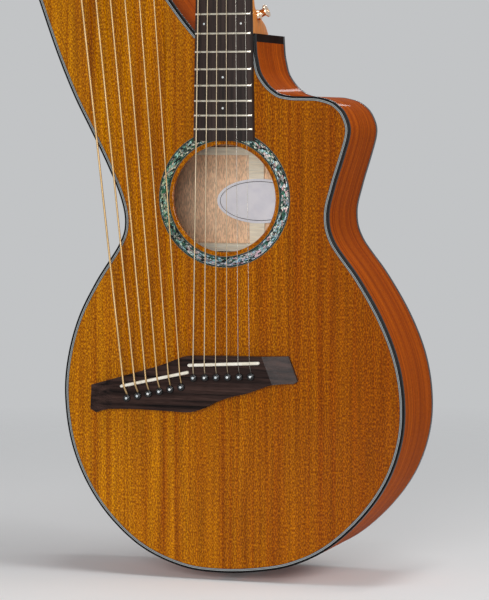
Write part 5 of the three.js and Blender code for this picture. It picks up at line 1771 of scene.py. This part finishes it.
# %% Finishes on the frame's own nodes
hidden_woods = {"top_bracing": brace_wood, "back_bracing": spruce_painted_lit, "tail_block": brace_wood}
for node_name, material in hidden_woods.items():
    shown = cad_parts[node_name]
    shown.data.materials.clear()
    shown.data.materials.append(material)
print("kept nodes", len(hidden_woods))

# %% [markdown]
# ## Floor and world
# The room is a pale floor under a pale world. A backdrop with a curved foot would show its own
# shading, so the floor fades out with distance instead, and no edge shows. The world lights the
# guitar softly, and rays that see it directly or in a mirror find a plain grey.

# %% Floor
floor_z = cad_box[0][2] - 0.0005
reach, fade_start, fade_end = 7.0, 0.8, 1.9
corners = [(-reach, -reach), (reach, -reach), (reach, reach), (-reach, reach)]
floor_mesh = bpy.data.meshes.new("floor")
floor_mesh.from_pydata([(x, y, floor_z) for x, y in corners], [], [(0, 1, 2, 3)])
floor = bpy.data.objects.new("floor", floor_mesh)
bpy.context.scene.collection.objects.link(floor)
paint = Recipe("floor paper", Base_Color=(0.92, 0.92, 0.92, 1), Roughness=0.95, Specular_IOR_Level=0.1)
far = paint.node("ShaderNodeVectorMath", {"operation": "LENGTH"}, {0: paint.places()}, "Value")
floor_mesh.materials.append(paint.give(Alpha=paint.span(far, fade_start, fade_end, 1.0, 0.0)))
print("floor", 2 * reach, "m wide at", round(floor_z, 4))

# %% World
world = bpy.data.worlds.new("studio")
bpy.context.scene.world = world
room = Tree(world)
seen = room.node("ShaderNodeLightPath", output="Is Camera Ray")
for kind in ("Is Glossy Ray", "Is Transmission Ray"):
    seen = seen.larger(room.node("ShaderNodeLightPath", output=kind))
light = room.node("ShaderNodeBackground", None, {"Color": (0.8, 0.82, 0.85, 1), "Strength": 0.22})
view = room.node("ShaderNodeBackground", None, {"Color": (0.54, 0.55, 0.56, 1), "Strength": 1.0})
room.node("ShaderNodeOutputWorld", None, {
    "Surface": room.node("ShaderNodeMixShader", None, {0: seen, 1: light, 2: view}),
})
print("world nodes", len(world.node_tree.nodes))

# %% [markdown]
# ## Lamps
# The photograph has one broad soft light in front and narrow bright lines along the ribs. Lamps
# could be copied from a studio plan, but lacquer shows each lamp as a mirror image, so they are
# placed by what should be mirrored. The front lamp is wide, so that the hole's edge casts no hard
# shadow inside, and the camera doesn't see the lamps themselves.

# %% Lamps
lamp_aim = (0.1, 0, -0.4)


def lamp(name, place, aim, size, power, size_y=None):
    """Area lamp at a place, turned to its aim."""
    data = bpy.data.lights.new(name, "AREA")
    data.shape, data.size, data.size_y, data.energy = "RECTANGLE", size, size_y or size, power
    thing = bpy.data.objects.new(name, data)
    bpy.context.scene.collection.objects.link(thing)
    way = Vector(aim) - Vector(place)
    thing.rotation_euler = way.to_track_quat("-Z", "Y").to_euler()
    thing.location = place
    thing.visible_camera = False


lamp("key", (-1.9, -2.2, -0.1), (0, 0, -0.5), 1.1, 7)
lamp("front", (0.36, -2.5, -0.2), (0, 0, -0.5), 1.1, 43)
lamp("side", (2.4, -0.5, 1.1), lamp_aim, 1.0, 25)
lamp("top strip", (0.5, -0.2, 1.9), lamp_aim, 1.6, 21, size_y=0.4)
lamp("rim", (-0.5, 2.4, 0.34), lamp_aim, 1.0, 1.9, size_y=0.05)
print("lamps", len(bpy.data.lights))

# %% [markdown]
# ## Close
# The last cell prints how many triangles the pieces have together.

# %% Finish
print("triangles", sum(made_triangles.values()))
